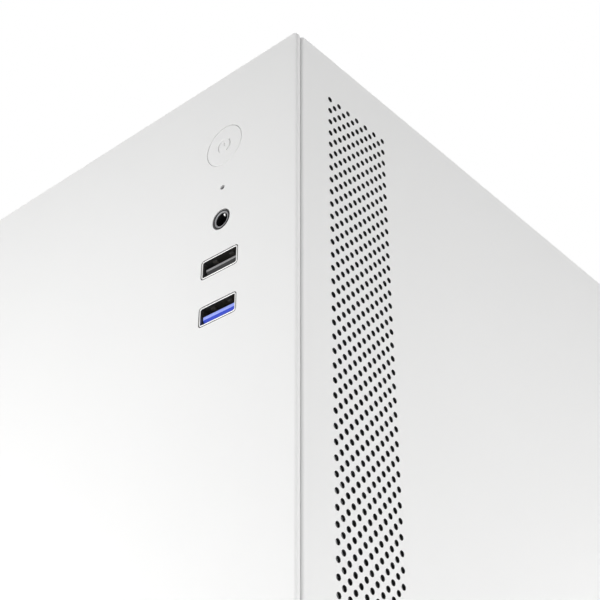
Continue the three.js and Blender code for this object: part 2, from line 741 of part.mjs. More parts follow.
/** The board with its soldered sockets, slots, connectors and heat spreaders. */
function motherboard() {
  const on = (height, y, z) => box([boardX - height, boardX + boardThick / 2], y, z);
  const plate = box([boardX, boardX + boardThick], [boardFrontY, boardRearY], [boardTop - boardSize, boardTop]);
  const memorySlots = [0, 1].map((i) =>
    cut(
      on(8, [memoryY(i) - 3.2, memoryY(i) + 3.2], [cpuZ - 70, cpuZ + 72]),
      box([boardX - 9, boardX - 3], [memoryY(i) - 1, memoryY(i) + 1], [cpuZ - 67.5, cpuZ + 67.5]),
    ),
  );
  const cardSlots = slotHeights()
    .slice(0, 3)
    .map((z, i) => on(11, [boardRearY - (i === 0 ? 138 : 72), boardRearY - 48], [z - 3.7, z + 3.7]));
  const connectors = [
    on(socketHeight, [cpuY - 24, cpuY + 24], [cpuZ - 22, cpuZ + 22]),
    on(13, [boardFrontY + 2, boardFrontY + 12], [cpuZ - 85, cpuZ - 33]), // main power
    on(13, [cpuY + 14, cpuY + 33], [boardTop - 14, boardTop - 3]), // processor power
    on(9, [boardFrontY + 8, boardFrontY + 24], [boardTop - 205, boardTop - 160]), // drives
    on(9, [boardFrontY + 40, boardFrontY + 60], [boardTop - boardSize + 3, boardTop - boardSize + 10]), // front sockets
  ];
  const spreaders = [
    on(9, [boardRearY - 128, boardRearY - 88], [cpuZ - 178, cpuZ - 138].map((z) => Math.max(z, boardTop - 238))),
    on(20, [cpuY + 50, cpuY + 64], [cpuZ - 44, cpuZ + 44]),
  ];
  return join(plate, ...memorySlots, ...cardSlots, ...connectors, ...spreaders);
}

/** A memory module: its board in the slot's groove, and its chips above the slot. */
function memoryModule(index) {
  const y = memoryY(index);
  return join(
    box([boardX - 36, boardX - 4], [y - 0.65, y + 0.65], [cpuZ - memoryLength / 2, cpuZ + memoryLength / 2]),
    box([boardX - 33, boardX - 12], [y - 1.8, y + 1.8], [cpuZ - 60, cpuZ + 60]),
  );
}

const sinkBase = boardX - socketHeight - contact - cpuThick - contact;

/** The finned heatsink on its four legs; the fins run up and down. */
function heatsink() {
  const edge = heatsinkSize / 2;
  const pitch = (heatsinkSize - finThick) / (finCount - 1);
  const baseTop = sinkBase - 4;
  const tip = sinkBase - heatsinkHeight;
  const points = [[sinkBase, -edge]];
  points.push([sinkBase, edge]);
  for (let i = finCount - 1; i >= 0; i--) {
    const y = -edge + i * pitch;
    points.push([baseTop, y + finThick], [tip, y + finThick], [tip, y], [baseTop, y]);
  }
  const comb = points.filter(([x, y], i) => i < 2 || !(x === baseTop && (y <= -edge || y >= edge - 1e-6)));
  const placed = comb.map(([x, y]) => [x, y + cpuY]);
  const fins = extrude(polygon(placed), "z", [cpuZ - edge, cpuZ + edge]);
  const legs = [-1, 1].flatMap((sideY) =>
    [-1, 1].map((sideZ) =>
      cylinder(2.5, "x", [cpuY + sideY * 37.5, cpuZ + sideZ * 37.5], [baseTop, boardX - contact], 8),
    ),
  );
  return join(fins, ...legs);
}

// Rear sockets, from the top down: height above the desk side of each, its reach from the board, and its hole's inset.
const rearSockets = [
  { drop: 14, tall: 15, reach: 29, inset: 1.2 },
  { drop: 40, tall: 20, reach: 14, inset: 1.4 },
  { drop: 66, tall: 15, reach: 16, inset: 1.2 },
  { drop: 92, tall: 17, reach: 28, inset: 2 },
  { drop: 116, tall: 15, reach: 16, inset: 1.2 },
  { drop: 142, tall: 14, reach: 35, inset: 2.6 },
];

/** The sockets along the board's rear edge on their common carrier. */
function rearPorts() {
  const base = boardX - contact;
  const carrier = box([base - 6, base], [boardRearY - 24, boardRearY - 6], [ioTop - ioLength + 6, ioTop - 4]);
  const housings = rearSockets.map(({ drop, tall, reach }) =>
    box([base - reach, base], [boardRearY - 20, caseDepth - 1], [ioTop - drop - tall / 2, ioTop - drop + tall / 2]),
  );
  const wells = rearSockets.map(({ drop, tall, reach, inset }) =>
    box(
      [base - reach + inset, base - inset],
      [boardRearY - 8, caseDepth],
      [ioTop - drop - tall / 2 + inset, ioTop - drop + tall / 2 - inset],
    ),
  );
  return cut(join(carrier, ...housings), wells);
}

/** The thin plate inside the rear sheet that the sockets look through. */
function ioShield() {
  const overlap = 1;
  const y = [rearSheetY - contact - 0.6, rearSheetY - contact];
  const plate = box(
    [ioHighX - ioWidth - overlap, ioHighX + overlap],
    y,
    [ioTop - ioLength - overlap, ioTop + overlap],
  );
  const base = boardX - contact;
  const holes = rearSockets.map(({ drop, tall, reach }) =>
    box(
      [base - reach - contact, base + contact],
      [y[0] - 1, y[1] + 1],
      [ioTop - drop - tall / 2 - contact, ioTop - drop + tall / 2 + contact],
    ),
  );
  return cut(plate, holes);
}

/** A blank for an unused expansion slot: a ribbed plate behind the opening with its tab bent inwards. */
function slotCover() {
  const y = rearSheetY - contact;
  const x = [slotHighX - slotLength - 6, slotHighX + 2];
  return join(
    box(x, [y - sheet, y], [-coverWidth / 2, coverWidth / 2]),
    box([x[0] + 8, x[1] - 6], [y - sheet - 1, y - sheet / 2], [-2, 2]),
    box([x[0], x[0] + sheet], [y - 11, y], [-coverWidth / 2, coverWidth / 2]),
  );
}

// ---------------------------------------------------------------- power supply
/** The power supply's casing: a thin box open under the fan, with its sockets' holes and slots in the rear face. */
function psuCase() {
  const x = [-psuWidth / 2, psuWidth / 2];
  const y = [psuFrontY, psuRearY];
  const z = [psuFloor, psuFloor + psuHeight];
  const inner = ([low, high]) => [low + sheet, high - sheet];
  const rear = [psuRearY - 2, psuRearY + 1];
  const slotCountRear = 7;
  const slotMargin = 13;
  const slotStep = (psuHeight - 2 * slotMargin) / (slotCountRear - 1);
  const slots = Array.from({ length: slotCountRear }, (_, i) => {
    const slotZ = psuFloor + slotMargin + i * slotStep;
    return box([-4, psuWidth / 2 - 9], rear, [slotZ - slotStep / 4, slotZ + slotStep / 4]);
  });
  return cut(
    box(x, y, z),
    box(inner(x), inner(y), inner(z)),
    cylinder(bigFan / 2 - fanWall, "z", [0, psuFanY], [psuFloor - 1, psuFloor + 2], 32),
    box(
      [inletX - inletWidth / 2, inletX + inletWidth / 2],
      rear,
      [rockerZ - rockerHeight / 2 - rockerWall - contact, psuPortZ + inletHeight / 2],
    ),
    cylinder(9, "y", [cableExitX, cableExitZ], [psuFrontY - 1, psuFrontY + 2], 16),
    slots,
  );
}

const cableExitX = 52;
const cableExitZ = psuFloor + psuHeight - 24;

/** The board inside the supply with its transformer, coils, capacitors and coolers. */
function psuElectronics() {
  const boardZ = psuFloor + psuHeight - 8;
  const fanTop = psuFloor + sheet + contact + fanDepth;
  const tallest = boardZ - fanTop - 13.9;
  const parts = [
    // x, y from the front, and how much shorter than the tallest
    [[-62, -50], [20, 118], 0],
    [[-38, -8], [24, 58], 4],
    [[-34, -12], [72, 92], 2],
    [[4, 34], [18, 46], 8],
    [[6, 14], [56, 112], 2],
    [[24, 44], [64, 84], 8],
    [[54, 62], [30, 104], 2],
  ];
  const plate = box([-68, 68], [psuFrontY + 8, psuRearY - 16], [boardZ, boardZ + 1.6]);
  const blocks = parts.map(([x, [near, far], shorter]) =>
    box(x, [psuFrontY + near, psuFrontY + far], [boardZ - tallest + shorter, boardZ + 0.5]),
  );
  return join(plate, ...blocks);
}

/** The mains inlet: a bezel on the rear face, a deep socket with three blades in it, and the rocker's housing. */
function psuInlet() {
  const face = psuRearY + inletBezel;
  const spanX = (w) => [inletX - w / 2, inletX + w / 2];
  const spanZ = (h) => [psuPortZ - h / 2, psuPortZ + h / 2];
  const bezelZ = [rockerZ - rockerHeight / 2 - 2, psuPortZ + inletHeight / 2 + 1.5];
  const bezel = extrude(
    roundedRectangle(spanX(inletWidth + 3.5), bezelZ, 2),
    "y",
    [psuRearY + contact, face],
    { curveSegments: 2 },
  );
  const body = box(spanX(inletWidth - 1), [psuRearY - 20, face - 0.5], spanZ(inletHeight - 1));
  const housing = box(
    spanX(rockerWidth + 2 * rockerWall),
    [psuRearY - 9, face - 0.5],
    [rockerZ - rockerHeight / 2 - rockerWall, rockerZ + rockerHeight / 2 + rockerWall],
  );
  const rockerWell = box(
    spanX(rockerWidth),
    [psuRearY - 8, face + 1],
    [rockerZ - rockerHeight / 2, rockerZ + rockerHeight / 2],
  );
  const bearing = cylinder(1.15, "x", [psuRearY - rockerPivot, rockerZ], spanX(rockerWidth + 1.6), 12);
  const well = polygon([
    [inletX - 12, psuPortZ - 8],
    [inletX + 12, psuPortZ - 8],
    [inletX + 12, psuPortZ + 3.5],
    [inletX + 7.5, psuPortZ + 8],
    [inletX - 7.5, psuPortZ + 8],
    [inletX - 12, psuPortZ + 3.5],
  ]);
  const blades = [
    [-7, -2],
    [0, 2],
    [7, -2],
  ].map(([x, z]) =>
    box([inletX + x - 1, inletX + x + 1], [psuRearY - 19, psuRearY - 3], [psuPortZ + z - 2, psuPortZ + z + 2]),
  );
  const shell = cut(join(bezel, body, housing), extrude(well, "y", [psuRearY - 18, face + 1]), rockerWell, bearing);
  return join(shell, ...blades);
}

/** The switch's rocker about the x axis through the origin, with its crown outwards (+Y). */
function rocker() {
  const crown = 4.6;
  const reach = rockerHeight / 2 - 1.4;
  const valley = 3.2;
  const outline = polygon([
    [-3.4, -3],
    [-3.4, 3],
    [crown, reach],
    [valley, 0],
    [crown, -reach],
  ]);
  const reachX = rockerWidth / 2 - 0.4;
  const body = extrude(outline, "x", [-reachX, reachX]);
  const pivot = cylinder(1, "x", [0, 0], [-rockerWidth / 2 - 0.5, rockerWidth / 2 + 0.5], 12);
  return join(body, pivot);
}

// ---------------------------------------------------------------- feet, screws and filter
/** A rubber foot about +Z, standing on z = 0. */
function foot() {
  const top = footHeight - contact;
  const profile = [
    [0, 0],
    [footRadius - 2.5, 0],
    [footRadius - 1.5, 1],
    [footRadius, top - 2],
    [footRadius, top],
    [0, top],
  ];
  return turned(profile, 16);
}

/** A thumbscrew along +Z, its head's underside at z = 0. */
function thumbscrew() {
  const profile = [
    [0, -thumbLength],
    [screwRadius, -thumbLength],
    [screwRadius, 0],
    [thumbRadius, 0],
    [thumbRadius, thumbHead - 0.8],
    [thumbRadius - 0.8, thumbHead],
    [0, thumbHead],
  ];
  return turned(profile, 14);
}

/** The dust filter: a frame with ribs over a thin mesh, and a pull tab at the rear. */
function dustFilter() {
  const top = zBottom - contact;
  const low = top - filterThick;
  const y = [filterRearY - filterLength, filterRearY];
  const bar = 4;
  const windows = [0, 1, 2].flatMap((column) =>
    [0, 1, 2, 3].map((row) => {
      const width = (2 * filterHalfWidth - 4 * bar) / 3;
      const length = (filterLength - 5 * bar) / 4;
      const x0 = -filterHalfWidth + bar + column * (width + bar);
      const y0 = y[0] + bar + row * (length + bar);
      return box([x0, x0 + width], [y0, y0 + length], [low + 0.4, top + 1]);
    }),
  );
  const tab = box([-14, 14], [y[1] - 1, y[1] + filterTab], [low, low + 2]);
  return join(cut(box([-filterHalfWidth, filterHalfWidth], y, [low, top]), windows), tab);
}

// ---------------------------------------------------------------- cables
/** A round cable through hand-placed points. */
function cable(points, diameter, steps) {
  const path = new THREE.CatmullRomCurve3(points.map((p) => new THREE.Vector3(...p)), false, "centripetal");
  const section = new THREE.Shape().absarc(0, 0, diameter / 2, 0, 2 * Math.PI);
  return solidOf(new THREE.ExtrudeGeometry(section, { steps, extrudePath: path, curveSegments: 4 }));
}

/** The three internal cables, each from its socket or the supply to the motherboard. */
function addCables() {
  const group = subAssembly();
  const backX = trayX + 7;
  const insideY = psuFrontY + 4; // the leads start inside the supply and leave through its round hole
  const grommetY = boardFrontY - 17;
  const powerZ = cpuZ - 60;
  const mainZ = cableExitZ + 3;
  const mainPower = [
    [cableExitX, insideY, mainZ],
    [cableExitX, psuFrontY - 3, mainZ],
    [cableExitX + 3, psuFrontY - 14, mainZ],
    [66, psuFrontY - 28, mainZ + 2],
    [backX - 1, psuFrontY - 46, mainZ + 9],
    [backX, psuFrontY - 66, shroudZ + 24],
    [backX, grommetY + 44, powerZ - 60],
    [backX, grommetY + 14, powerZ - 20],
    [backX - 1, grommetY + 2, powerZ - 4],
    [trayX, grommetY - 2, powerZ],
    [boardX - 1, grommetY - 2, powerZ],
    [boardX - 6.5, grommetY + 4, powerZ],
    [boardX - 6.5, boardFrontY - 3, powerZ],
    [boardX - 6.5, boardFrontY + 2 - contact, powerZ],
  ];
  piece(group, "atx_power_cable", cable(mainPower, 10, 38), materials.cableSleeve);

  const notchY = cpuY + 24;
  const notchZ = boardTop + 5.5;
  const thinZ = cableExitZ - 6;
  const processorPower = [
    [cableExitX + 1, insideY, thinZ],
    [cableExitX + 1, psuFrontY - 3, thinZ],
    [cableExitX + 5, psuFrontY - 13, thinZ],
    [71, psuFrontY - 22, thinZ],
    [backX, psuFrontY - 20, thinZ + 12],
    [backX + 1, psuFrontY - 6, shroudZ + 8],
    [backX + 1, psuFrontY + 2, shroudZ + 50],
    [backX + 1, psuFrontY + 12, shroudZ + 106],
    [backX + 1, cpuY + 6, cpuZ - 30],
    [backX + 1, notchY + 28, cpuZ + 10],
    [backX + 1, notchY + 30, cpuZ + 44],
    [backX, notchY + 10, boardTop - 12],
    [backX - 1, notchY, notchZ - 4],
    [trayX, notchY, notchZ],
    [boardX - 4, notchY, notchZ],
    [boardX - 9, notchY, boardTop + 2],
    [boardX - 9, notchY, boardTop - 3 + contact],
  ];
  piece(group, "cpu_power_cable", cable(processorPower, 5, 52), materials.cableSleeve);

  const plugZ = socketBoardZ[0] + 7.5;
  const headerZ = boardTop - boardSize + 6.5;
  const headerY = boardFrontY + 50;
  const frontSockets = [
    [socketX + 5, plugFace + contact, plugZ],
    [socketX + 5, plugFace + 3, plugZ],
    [socketX + 6, plugFace + 8, plugZ + 5],
    [75, frontSheetY - 4, plugZ + 22],
    [77, frontSheetY + 6, plugZ + 30],
    [backX, 58, plugZ + 20],
    [backX + 1, 68, plugZ - 40],
    [backX + 1, 70, 190],
    [backX, 78, 158],
    [backX - 1, grommetY, shroudZ + 45],
    [trayX, grommetY + 1, shroudZ + 42],
    [boardX - 3, grommetY + 4, shroudZ + 36],
    [boardX - 14, grommetY + 20, shroudZ + 27],
    [boardX - 18, headerY - 16, headerZ + 2],
    [boardX - 17, headerY - 4, headerZ],
    [boardX - 13, headerY, headerZ],
    [boardX - 9 - contact, headerY, headerZ],
  ];
  piece(group, "front_panel_cable", cable(frontSockets, 5, 50), materials.cableSleeve);
}

// ---------------------------------------------------------------- assembly
function addOuterPanels() {
  const group = subAssembly();
  piece(group, "front_panel", frontPanel(), materials.whitePaint);
  const [right, left] = bothSides(sidePanel());
  piece(group, "right_side_panel", right, materials.whitePaint);
  piece(group, "left_side_panel", left, materials.whitePaint);
  piece(group, "top_cover", railedPlate(), materials.whitePaint);
}

function addChassis() {
  const group = subAssembly();
  piece(group, "chassis_base", chassisBase(), materials.whitePaint);
  piece(group, "chassis_front", chassisFront(), materials.zincSteel);
  piece(group, "chassis_rear", chassisRear(), materials.whitePaint);
  piece(group, "motherboard_tray", motherboardTray(), materials.zincSteel);
  piece(group, "psu_shroud", psuShroud(), materials.whitePaint);
  piece(group, "drive_cage", driveCage(), materials.zincSteel);
  piece(group, "hard_drive", hardDriveSolid(), materials.aluminium);
  const drive = piece(
    group,
    "solid_state_drive",
    box([0, solidDrive.height], [0, solidDrive.length], [0, solidDrive.width]),
    materials.blackPaint,
  );
  drive.position.set(trayX + sheet + contact, boardRearY - 108, shroudZ + 16);
}

function addFans() {
  const rearFanY = rearSheetY - contact;
  addFan("rear_fan", "", smallFan, 9, [rearFanX, rearFanY, rearFanZ], [Math.PI / 2, 0, 0]);
  const guard = subAssembly([rearFanX, rearSheetY + sheet + contact + 1, rearFanZ]);
  guard.rotation.set(Math.PI / 2, 0, 0);
  piece(guard, "rear_fan_guard", fanGuard(smallFan, [15, 27, 39]), materials.brightSteel);

  const frontFanY = frontSheetY + sheet + contact + fanDepth;
  addFan("front_fan", "", bigFan, 9, [0, frontFanY, upperFanZ], [Math.PI / 2, 0, 0]);

  const cpuFanX = sinkBase - heatsinkHeight - contact;
  addFan("cpu_fan", "", smallFan, 9, [cpuFanX, cpuY, cpuZ], [0, -Math.PI / 2, 0]);
}

function addMotherboard() {
  const group = subAssembly();
  piece(group, "motherboard", motherboard(), materials.greenBoard);
  const cpuX = boardX - socketHeight - contact;
  const cpuSpan = (centre) => [centre - cpuSize / 2, centre + cpuSize / 2];
  piece(group, "cpu", box([cpuX - cpuThick, cpuX], cpuSpan(cpuY), cpuSpan(cpuZ)), materials.brightSteel);
  piece(group, "cpu_heatsink", heatsink(), materials.aluminium);
  piece(group, "ram_module_1", memoryModule(0), materials.greenBoard);
  piece(group, "ram_module_2", memoryModule(1), materials.greenBoard);
  piece(group, "rear_ports", rearPorts(), materials.brightSteel);
  piece(group, "io_shield", ioShield(), materials.brightSteel);
  slotHeights().forEach((z, i) => {
    piece(group, `slot_cover_${i + 1}`, slotCover(), materials.brightSteel).position.z = z;
  });
}

function addPowerSupply() {
  const group = subAssembly();
  piece(group, "psu_case", psuCase(), materials.blackPaint);
  piece(group, "psu_electronics", psuElectronics(), materials.greenBoard);
  piece(group, "psu_inlet", psuInlet(), materials.blackPlastic);
  const switchRocker = piece(group, "psu_rocker", rocker(), materials.blackPlastic);
  switchRocker.position.set(inletX, psuRearY - rockerPivot, rockerZ);
  switchRocker.rotation.x = THREE.MathUtils.degToRad(rockerTilt);

  const fanFloor = psuFloor + sheet + contact;
  addFan("psu_fan", "", bigFan, 7, [0, psuFanY, fanFloor + fanDepth], [Math.PI, 0, 0]);
  const guard = subAssembly([0, psuFanY, psuFloor - contact - 1]);
  piece(guard, "psu_fan_guard", fanGuard(bigFan, [16, 32, 48]), materials.brightSteel);
}

function addFeetAndScrews() {
  const ends = { front: footInsetY, rear: caseDepth - footInsetY };
  const sides = { left: -1, right: 1 };
  for (const [end, y] of Object.entries(ends)) {
    for (const [side, sign] of Object.entries(sides)) {
      const group = subAssembly([sign * (half - footInsetX), y, 0]);
      piece(group, `foot_${end}_${side}`, foot(), materials.rubber);
    }
  }
  const heights = { lower: thumbscrewHeights()[0], upper: thumbscrewHeights()[1] };
  for (const [level, z] of Object.entries(heights)) {
    for (const [side, sign] of Object.entries(sides)) {
      const group = subAssembly([sign * (half - thumbInset), caseDepth + contact, z]);
      group.rotation.x = -Math.PI / 2;
      piece(group, `thumbscrew_${side}_${level}`, thumbscrew(), materials.whitePaint);
    }
  }
  piece(subAssembly(), "dust_filter", dustFilter(), materials.blackPlastic);
}

addOuterPanels();
addChassis();
addFrontSockets();
addFans();
addMotherboard();
addPowerSupply();
addFeetAndScrews();
addCables();

export default tower;
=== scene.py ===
"""A white mini tower computer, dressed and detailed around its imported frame.

Lengths are millimetres in the case frame unless a name says otherwise: x runs across the front, y back
from the front face, z up from the desk. Form.place turns a finished form into a piece in the row's metres.
"""

from __future__ import annotations

import json
import logging
import math
import random
from collections.abc import Iterable, Iterator, Sequence
from dataclasses import dataclass
from enum import Enum

import bmesh
import bpy
from mathutils import Matrix, Vector
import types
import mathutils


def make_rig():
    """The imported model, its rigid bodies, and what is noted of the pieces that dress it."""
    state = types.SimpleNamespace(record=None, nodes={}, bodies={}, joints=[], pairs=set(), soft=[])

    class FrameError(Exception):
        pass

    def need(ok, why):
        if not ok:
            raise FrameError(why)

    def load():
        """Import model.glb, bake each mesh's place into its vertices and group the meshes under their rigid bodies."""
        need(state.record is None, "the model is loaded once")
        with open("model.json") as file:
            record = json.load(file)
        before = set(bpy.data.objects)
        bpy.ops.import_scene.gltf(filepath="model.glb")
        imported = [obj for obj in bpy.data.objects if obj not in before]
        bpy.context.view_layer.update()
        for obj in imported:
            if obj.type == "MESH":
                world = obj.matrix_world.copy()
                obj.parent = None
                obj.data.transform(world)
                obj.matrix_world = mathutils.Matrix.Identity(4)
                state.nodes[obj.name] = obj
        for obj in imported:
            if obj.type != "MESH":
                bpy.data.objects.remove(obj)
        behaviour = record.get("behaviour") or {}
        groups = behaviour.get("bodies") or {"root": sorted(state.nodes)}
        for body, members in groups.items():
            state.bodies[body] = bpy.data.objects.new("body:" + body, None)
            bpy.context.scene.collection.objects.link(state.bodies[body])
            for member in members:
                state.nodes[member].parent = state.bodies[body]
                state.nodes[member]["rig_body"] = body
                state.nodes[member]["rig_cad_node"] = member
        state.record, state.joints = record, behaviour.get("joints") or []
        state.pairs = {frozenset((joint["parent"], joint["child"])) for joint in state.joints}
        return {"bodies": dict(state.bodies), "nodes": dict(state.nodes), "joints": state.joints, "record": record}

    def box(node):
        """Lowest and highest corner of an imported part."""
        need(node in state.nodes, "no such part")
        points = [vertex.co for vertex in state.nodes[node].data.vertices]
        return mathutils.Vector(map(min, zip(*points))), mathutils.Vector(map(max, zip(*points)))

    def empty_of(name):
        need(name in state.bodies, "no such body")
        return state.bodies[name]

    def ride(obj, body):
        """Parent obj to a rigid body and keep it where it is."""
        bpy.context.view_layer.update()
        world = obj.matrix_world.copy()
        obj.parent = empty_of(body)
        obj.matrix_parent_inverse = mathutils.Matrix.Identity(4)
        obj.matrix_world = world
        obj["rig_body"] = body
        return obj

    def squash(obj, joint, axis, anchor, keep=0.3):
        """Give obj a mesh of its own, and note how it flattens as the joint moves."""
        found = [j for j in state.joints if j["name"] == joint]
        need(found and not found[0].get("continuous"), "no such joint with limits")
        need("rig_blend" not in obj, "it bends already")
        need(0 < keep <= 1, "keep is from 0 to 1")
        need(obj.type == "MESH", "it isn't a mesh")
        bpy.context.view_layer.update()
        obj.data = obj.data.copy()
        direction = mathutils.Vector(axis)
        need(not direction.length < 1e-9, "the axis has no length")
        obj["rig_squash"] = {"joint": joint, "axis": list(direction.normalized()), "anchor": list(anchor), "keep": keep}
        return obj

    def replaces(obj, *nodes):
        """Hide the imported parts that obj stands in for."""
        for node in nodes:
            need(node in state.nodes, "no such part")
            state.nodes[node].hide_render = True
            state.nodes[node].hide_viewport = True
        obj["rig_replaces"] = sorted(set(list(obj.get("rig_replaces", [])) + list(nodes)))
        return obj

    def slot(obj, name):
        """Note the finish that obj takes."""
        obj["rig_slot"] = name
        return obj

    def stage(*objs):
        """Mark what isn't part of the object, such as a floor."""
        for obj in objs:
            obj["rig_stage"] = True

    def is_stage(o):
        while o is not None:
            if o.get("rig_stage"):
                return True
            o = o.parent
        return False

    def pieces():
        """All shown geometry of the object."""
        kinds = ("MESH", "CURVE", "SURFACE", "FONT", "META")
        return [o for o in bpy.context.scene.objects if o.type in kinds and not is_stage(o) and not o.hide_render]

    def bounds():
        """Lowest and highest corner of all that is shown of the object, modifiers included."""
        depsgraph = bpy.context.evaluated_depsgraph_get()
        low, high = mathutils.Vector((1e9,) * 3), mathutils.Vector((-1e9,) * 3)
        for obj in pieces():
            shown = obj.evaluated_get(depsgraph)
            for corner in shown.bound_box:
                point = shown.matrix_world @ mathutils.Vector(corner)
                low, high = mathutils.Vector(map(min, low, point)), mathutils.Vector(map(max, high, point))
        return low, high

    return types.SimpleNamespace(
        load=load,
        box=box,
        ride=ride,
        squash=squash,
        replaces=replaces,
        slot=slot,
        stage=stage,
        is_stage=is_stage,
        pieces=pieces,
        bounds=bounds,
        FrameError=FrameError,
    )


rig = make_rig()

log = logging.getLogger("tower")

MM = 0.001
Point = tuple[float, float]
Spot = tuple[float, float, float]
Span = tuple[float, float]
Colour = tuple[float, float, float]


# ---------------------------------------------------------------- surfaces
@dataclass(frozen=True)
class Field:
    """A number that varies over a surface; Python's operators add the nodes that work it out."""

    shader: Shader
    socket: bpy.types.NodeSocket

    def _math(self, operation: str, first: object, second: object = 0.0) -> Field:
        """One Math node."""
        node = self.shader.node("ShaderNodeMath", {"operation": operation}, {0: first, 1: second})
        return Field(self.shader, node.outputs[0])

    def __add__(self, other: Field | float) -> Field:
        """The sum."""
        return self._math("ADD", self, other)

    def __sub__(self, other: Field | float) -> Field:
        """The difference."""
        return self._math("SUBTRACT", self, other)

    def __rsub__(self, other: float) -> Field:
        """A number less this field."""
        return self._math("SUBTRACT", other, self)

    def __mul__(self, other: Field | float) -> Field:
        """The product."""
        return self._math("MULTIPLY", self, other)

    __radd__ = __add__
    __rmul__ = __mul__

    def above(self, edge: float) -> Field:
        """1 where the field is above an edge, else 0."""
        return self._math("GREATER_THAN", self, edge)

    def below(self, edge: float) -> Field:
        """1 where the field is below an edge, else 0."""
        return self._math("LESS_THAN", self, edge)

    def highest(self, other: Field | float) -> Field:
        """The higher of the two."""
        return self._math("MAXIMUM", self, other)

    def wave(self, period: float) -> Field:
        """A triangle wave between 0 and 1, 0 at whole periods."""
        return self._math("PINGPONG", self, period / 2) * (2 / period)

    def ease(self, low: float, high: float) -> Field:
        """0 below low, 1 above high, smooth between.

        Args:
            low: Where the step starts.
            high: Where it ends.

        Returns:
            The eased field.
        """
        settings = {"interpolation_type": "SMOOTHSTEP"}
        values = {"Value": self, "From Min": low, "From Max": high}
        return Field(self.shader, self.shader.node("ShaderNodeMapRange", settings, values).outputs[0])


class Shader:
    """The node tree of one material, with its Principled shader."""

    def __init__(self, name: str) -> None:
        """Starts a material with an empty Principled shader.

        Args:
            name: The material's name.
        """
        self.material = bpy.data.materials.new(name)
        self.material.use_nodes = True
        self.tree = self.material.node_tree
        self.tree.nodes.clear()
        self.principled = self.node("ShaderNodeBsdfPrincipled")
        self.node("ShaderNodeOutputMaterial", values={"Surface": self.principled.outputs[0]})

    def node(
        self,
        kind: str,
        settings: dict[str, object] | None = None,
        values: dict[str | int, object] | None = None,
    ) -> bpy.types.Node:
        """Adds a node.

        Args:
            kind: The node's type.
            settings: Its own settings, which are made first; "stops" are a ramp's (place, colour) pairs.
            values: The numbers or links of its sockets.

        Returns:
            The node.
        """
        made = self.tree.nodes.new(kind)
        for key, value in (settings or {}).items():
            if key == "stops":
                for stop, (place, colour) in zip(made.color_ramp.elements, value):
                    stop.position = place
                    stop.color = (*colour, 1)
            else:
                setattr(made, key, value)
        for key, value in (values or {}).items():
            self.feed(made.inputs[key], value)
        return made

    def feed(self, socket: bpy.types.NodeSocket, value: object) -> None:
        """Links a field or an output to a socket, or sets its number or colour.

        Args:
            socket: The input.
            value: A field, an output socket, a number, or a colour or vector of three.
        """
        source = value.socket if isinstance(value, Field) else value
        if isinstance(source, bpy.types.NodeSocket):
            self.tree.links.new(source, socket)
        elif isinstance(source, tuple) and socket.type == "RGBA":
            socket.default_value = (*source, 1)
        else:
            socket.default_value = source

    def surface(self, **values: object) -> None:
        """Feeds the Principled shader; a name's underscores stand for spaces."""
        for key, value in values.items():
            self.feed(self.principled.inputs[key.replace("_", " ").title().replace("Ior", "IOR")], value)

    def place(self, stretch: Spot = (1.0, 1.0, 1.0)) -> bpy.types.NodeSocket:
        """Where a point is on its piece, in millimetres.

        Args:
            stretch: What each axis is multiplied by.

        Returns:
            The vector's socket.
        """
        here = self.node("ShaderNodeTexCoord").outputs["Object"]
        scale = tuple(s / MM for s in stretch)
        settings = {"operation": "MULTIPLY"}
        return self.node("ShaderNodeVectorMath", settings, {0: here, 1: scale}).outputs[0]

    def axes(self) -> tuple[Field, Field, Field]:
        """The three coordinates of a point in millimetres."""
        node = self.node("ShaderNodeSeparateXYZ", values={0: self.place()})
        return tuple(Field(self, out) for out in node.outputs)

    def noise(self, size: float, detail: float = 3.0, stretch: Spot = (1.0, 1.0, 1.0)) -> Field:
        """Soft noise between 0 and 1.

        Args:
            size: The size of its blotches in millimetres.
            detail: How many finer layers it has.
            stretch: What each axis is multiplied by first.

        Returns:
            The noise.
        """
        values = {"Vector": self.place(stretch), "Scale": 1 / size, "Detail": detail, "Roughness": 0.55}
        return Field(self, self.node("ShaderNodeTexNoise", values=values).outputs[0])

    def cells(
        self, size: float, output: str = "Distance", settings: dict[str, object] | None = None
    ) -> Field:
        """A Voronoi pattern.

        Args:
            size: A cell's size in millimetres.
            output: Which of the node's outputs; Color gives one random number to each cell.
            settings: The node's settings.

        Returns:
            The pattern.
        """
        values = {"Vector": self.place(), "Scale": 1 / size}
        node = self.node("ShaderNodeTexVoronoi", settings, values)
        if output != "Color":
            return Field(self, node.outputs[output])
        return Field(self, self.node("ShaderNodeSeparateColor", values={0: node.outputs["Color"]}).outputs[0])

    def mix(self, share: Field, first: object, second: object) -> bpy.types.NodeSocket:
        """A colour between two.

        Args:
            share: 0 for the first, 1 for the second.
            first: A colour.
            second: A colour.

        Returns:
            The mixed colour's socket.
        """
        node = self.node("ShaderNodeMix", {"data_type": "RGBA"}, {0: share, 6: first, 7: second})
        return node.outputs[2]

    def tint(self, colour: Colour, share: Field, depth: float) -> bpy.types.NodeSocket:
        """A colour that darkens a little where a field is low.

        Args:
            colour: The full colour.
            share: The field, between 0 and 1.
            depth: How much darker the darkest place is, as a share.

        Returns:
            The colour's socket.
        """
        return self.mix(share, tuple(c * (1 - depth) for c in colour), colour)

    def bump(self, height: Field, rise: float, strength: float = 1.0) -> None:
        """Raises the surface in the light.

        Args:
            height: The height, between 0 and 1.
            rise: The height of 1 in millimetres.
            strength: How much of it shows.
        """
        values = {"Height": height, "Distance": rise * MM, "Strength": strength}
        self.surface(normal=self.node("ShaderNodeBump", values=values).outputs[0])


_materials: dict[Finish, bpy.types.Material] = {}


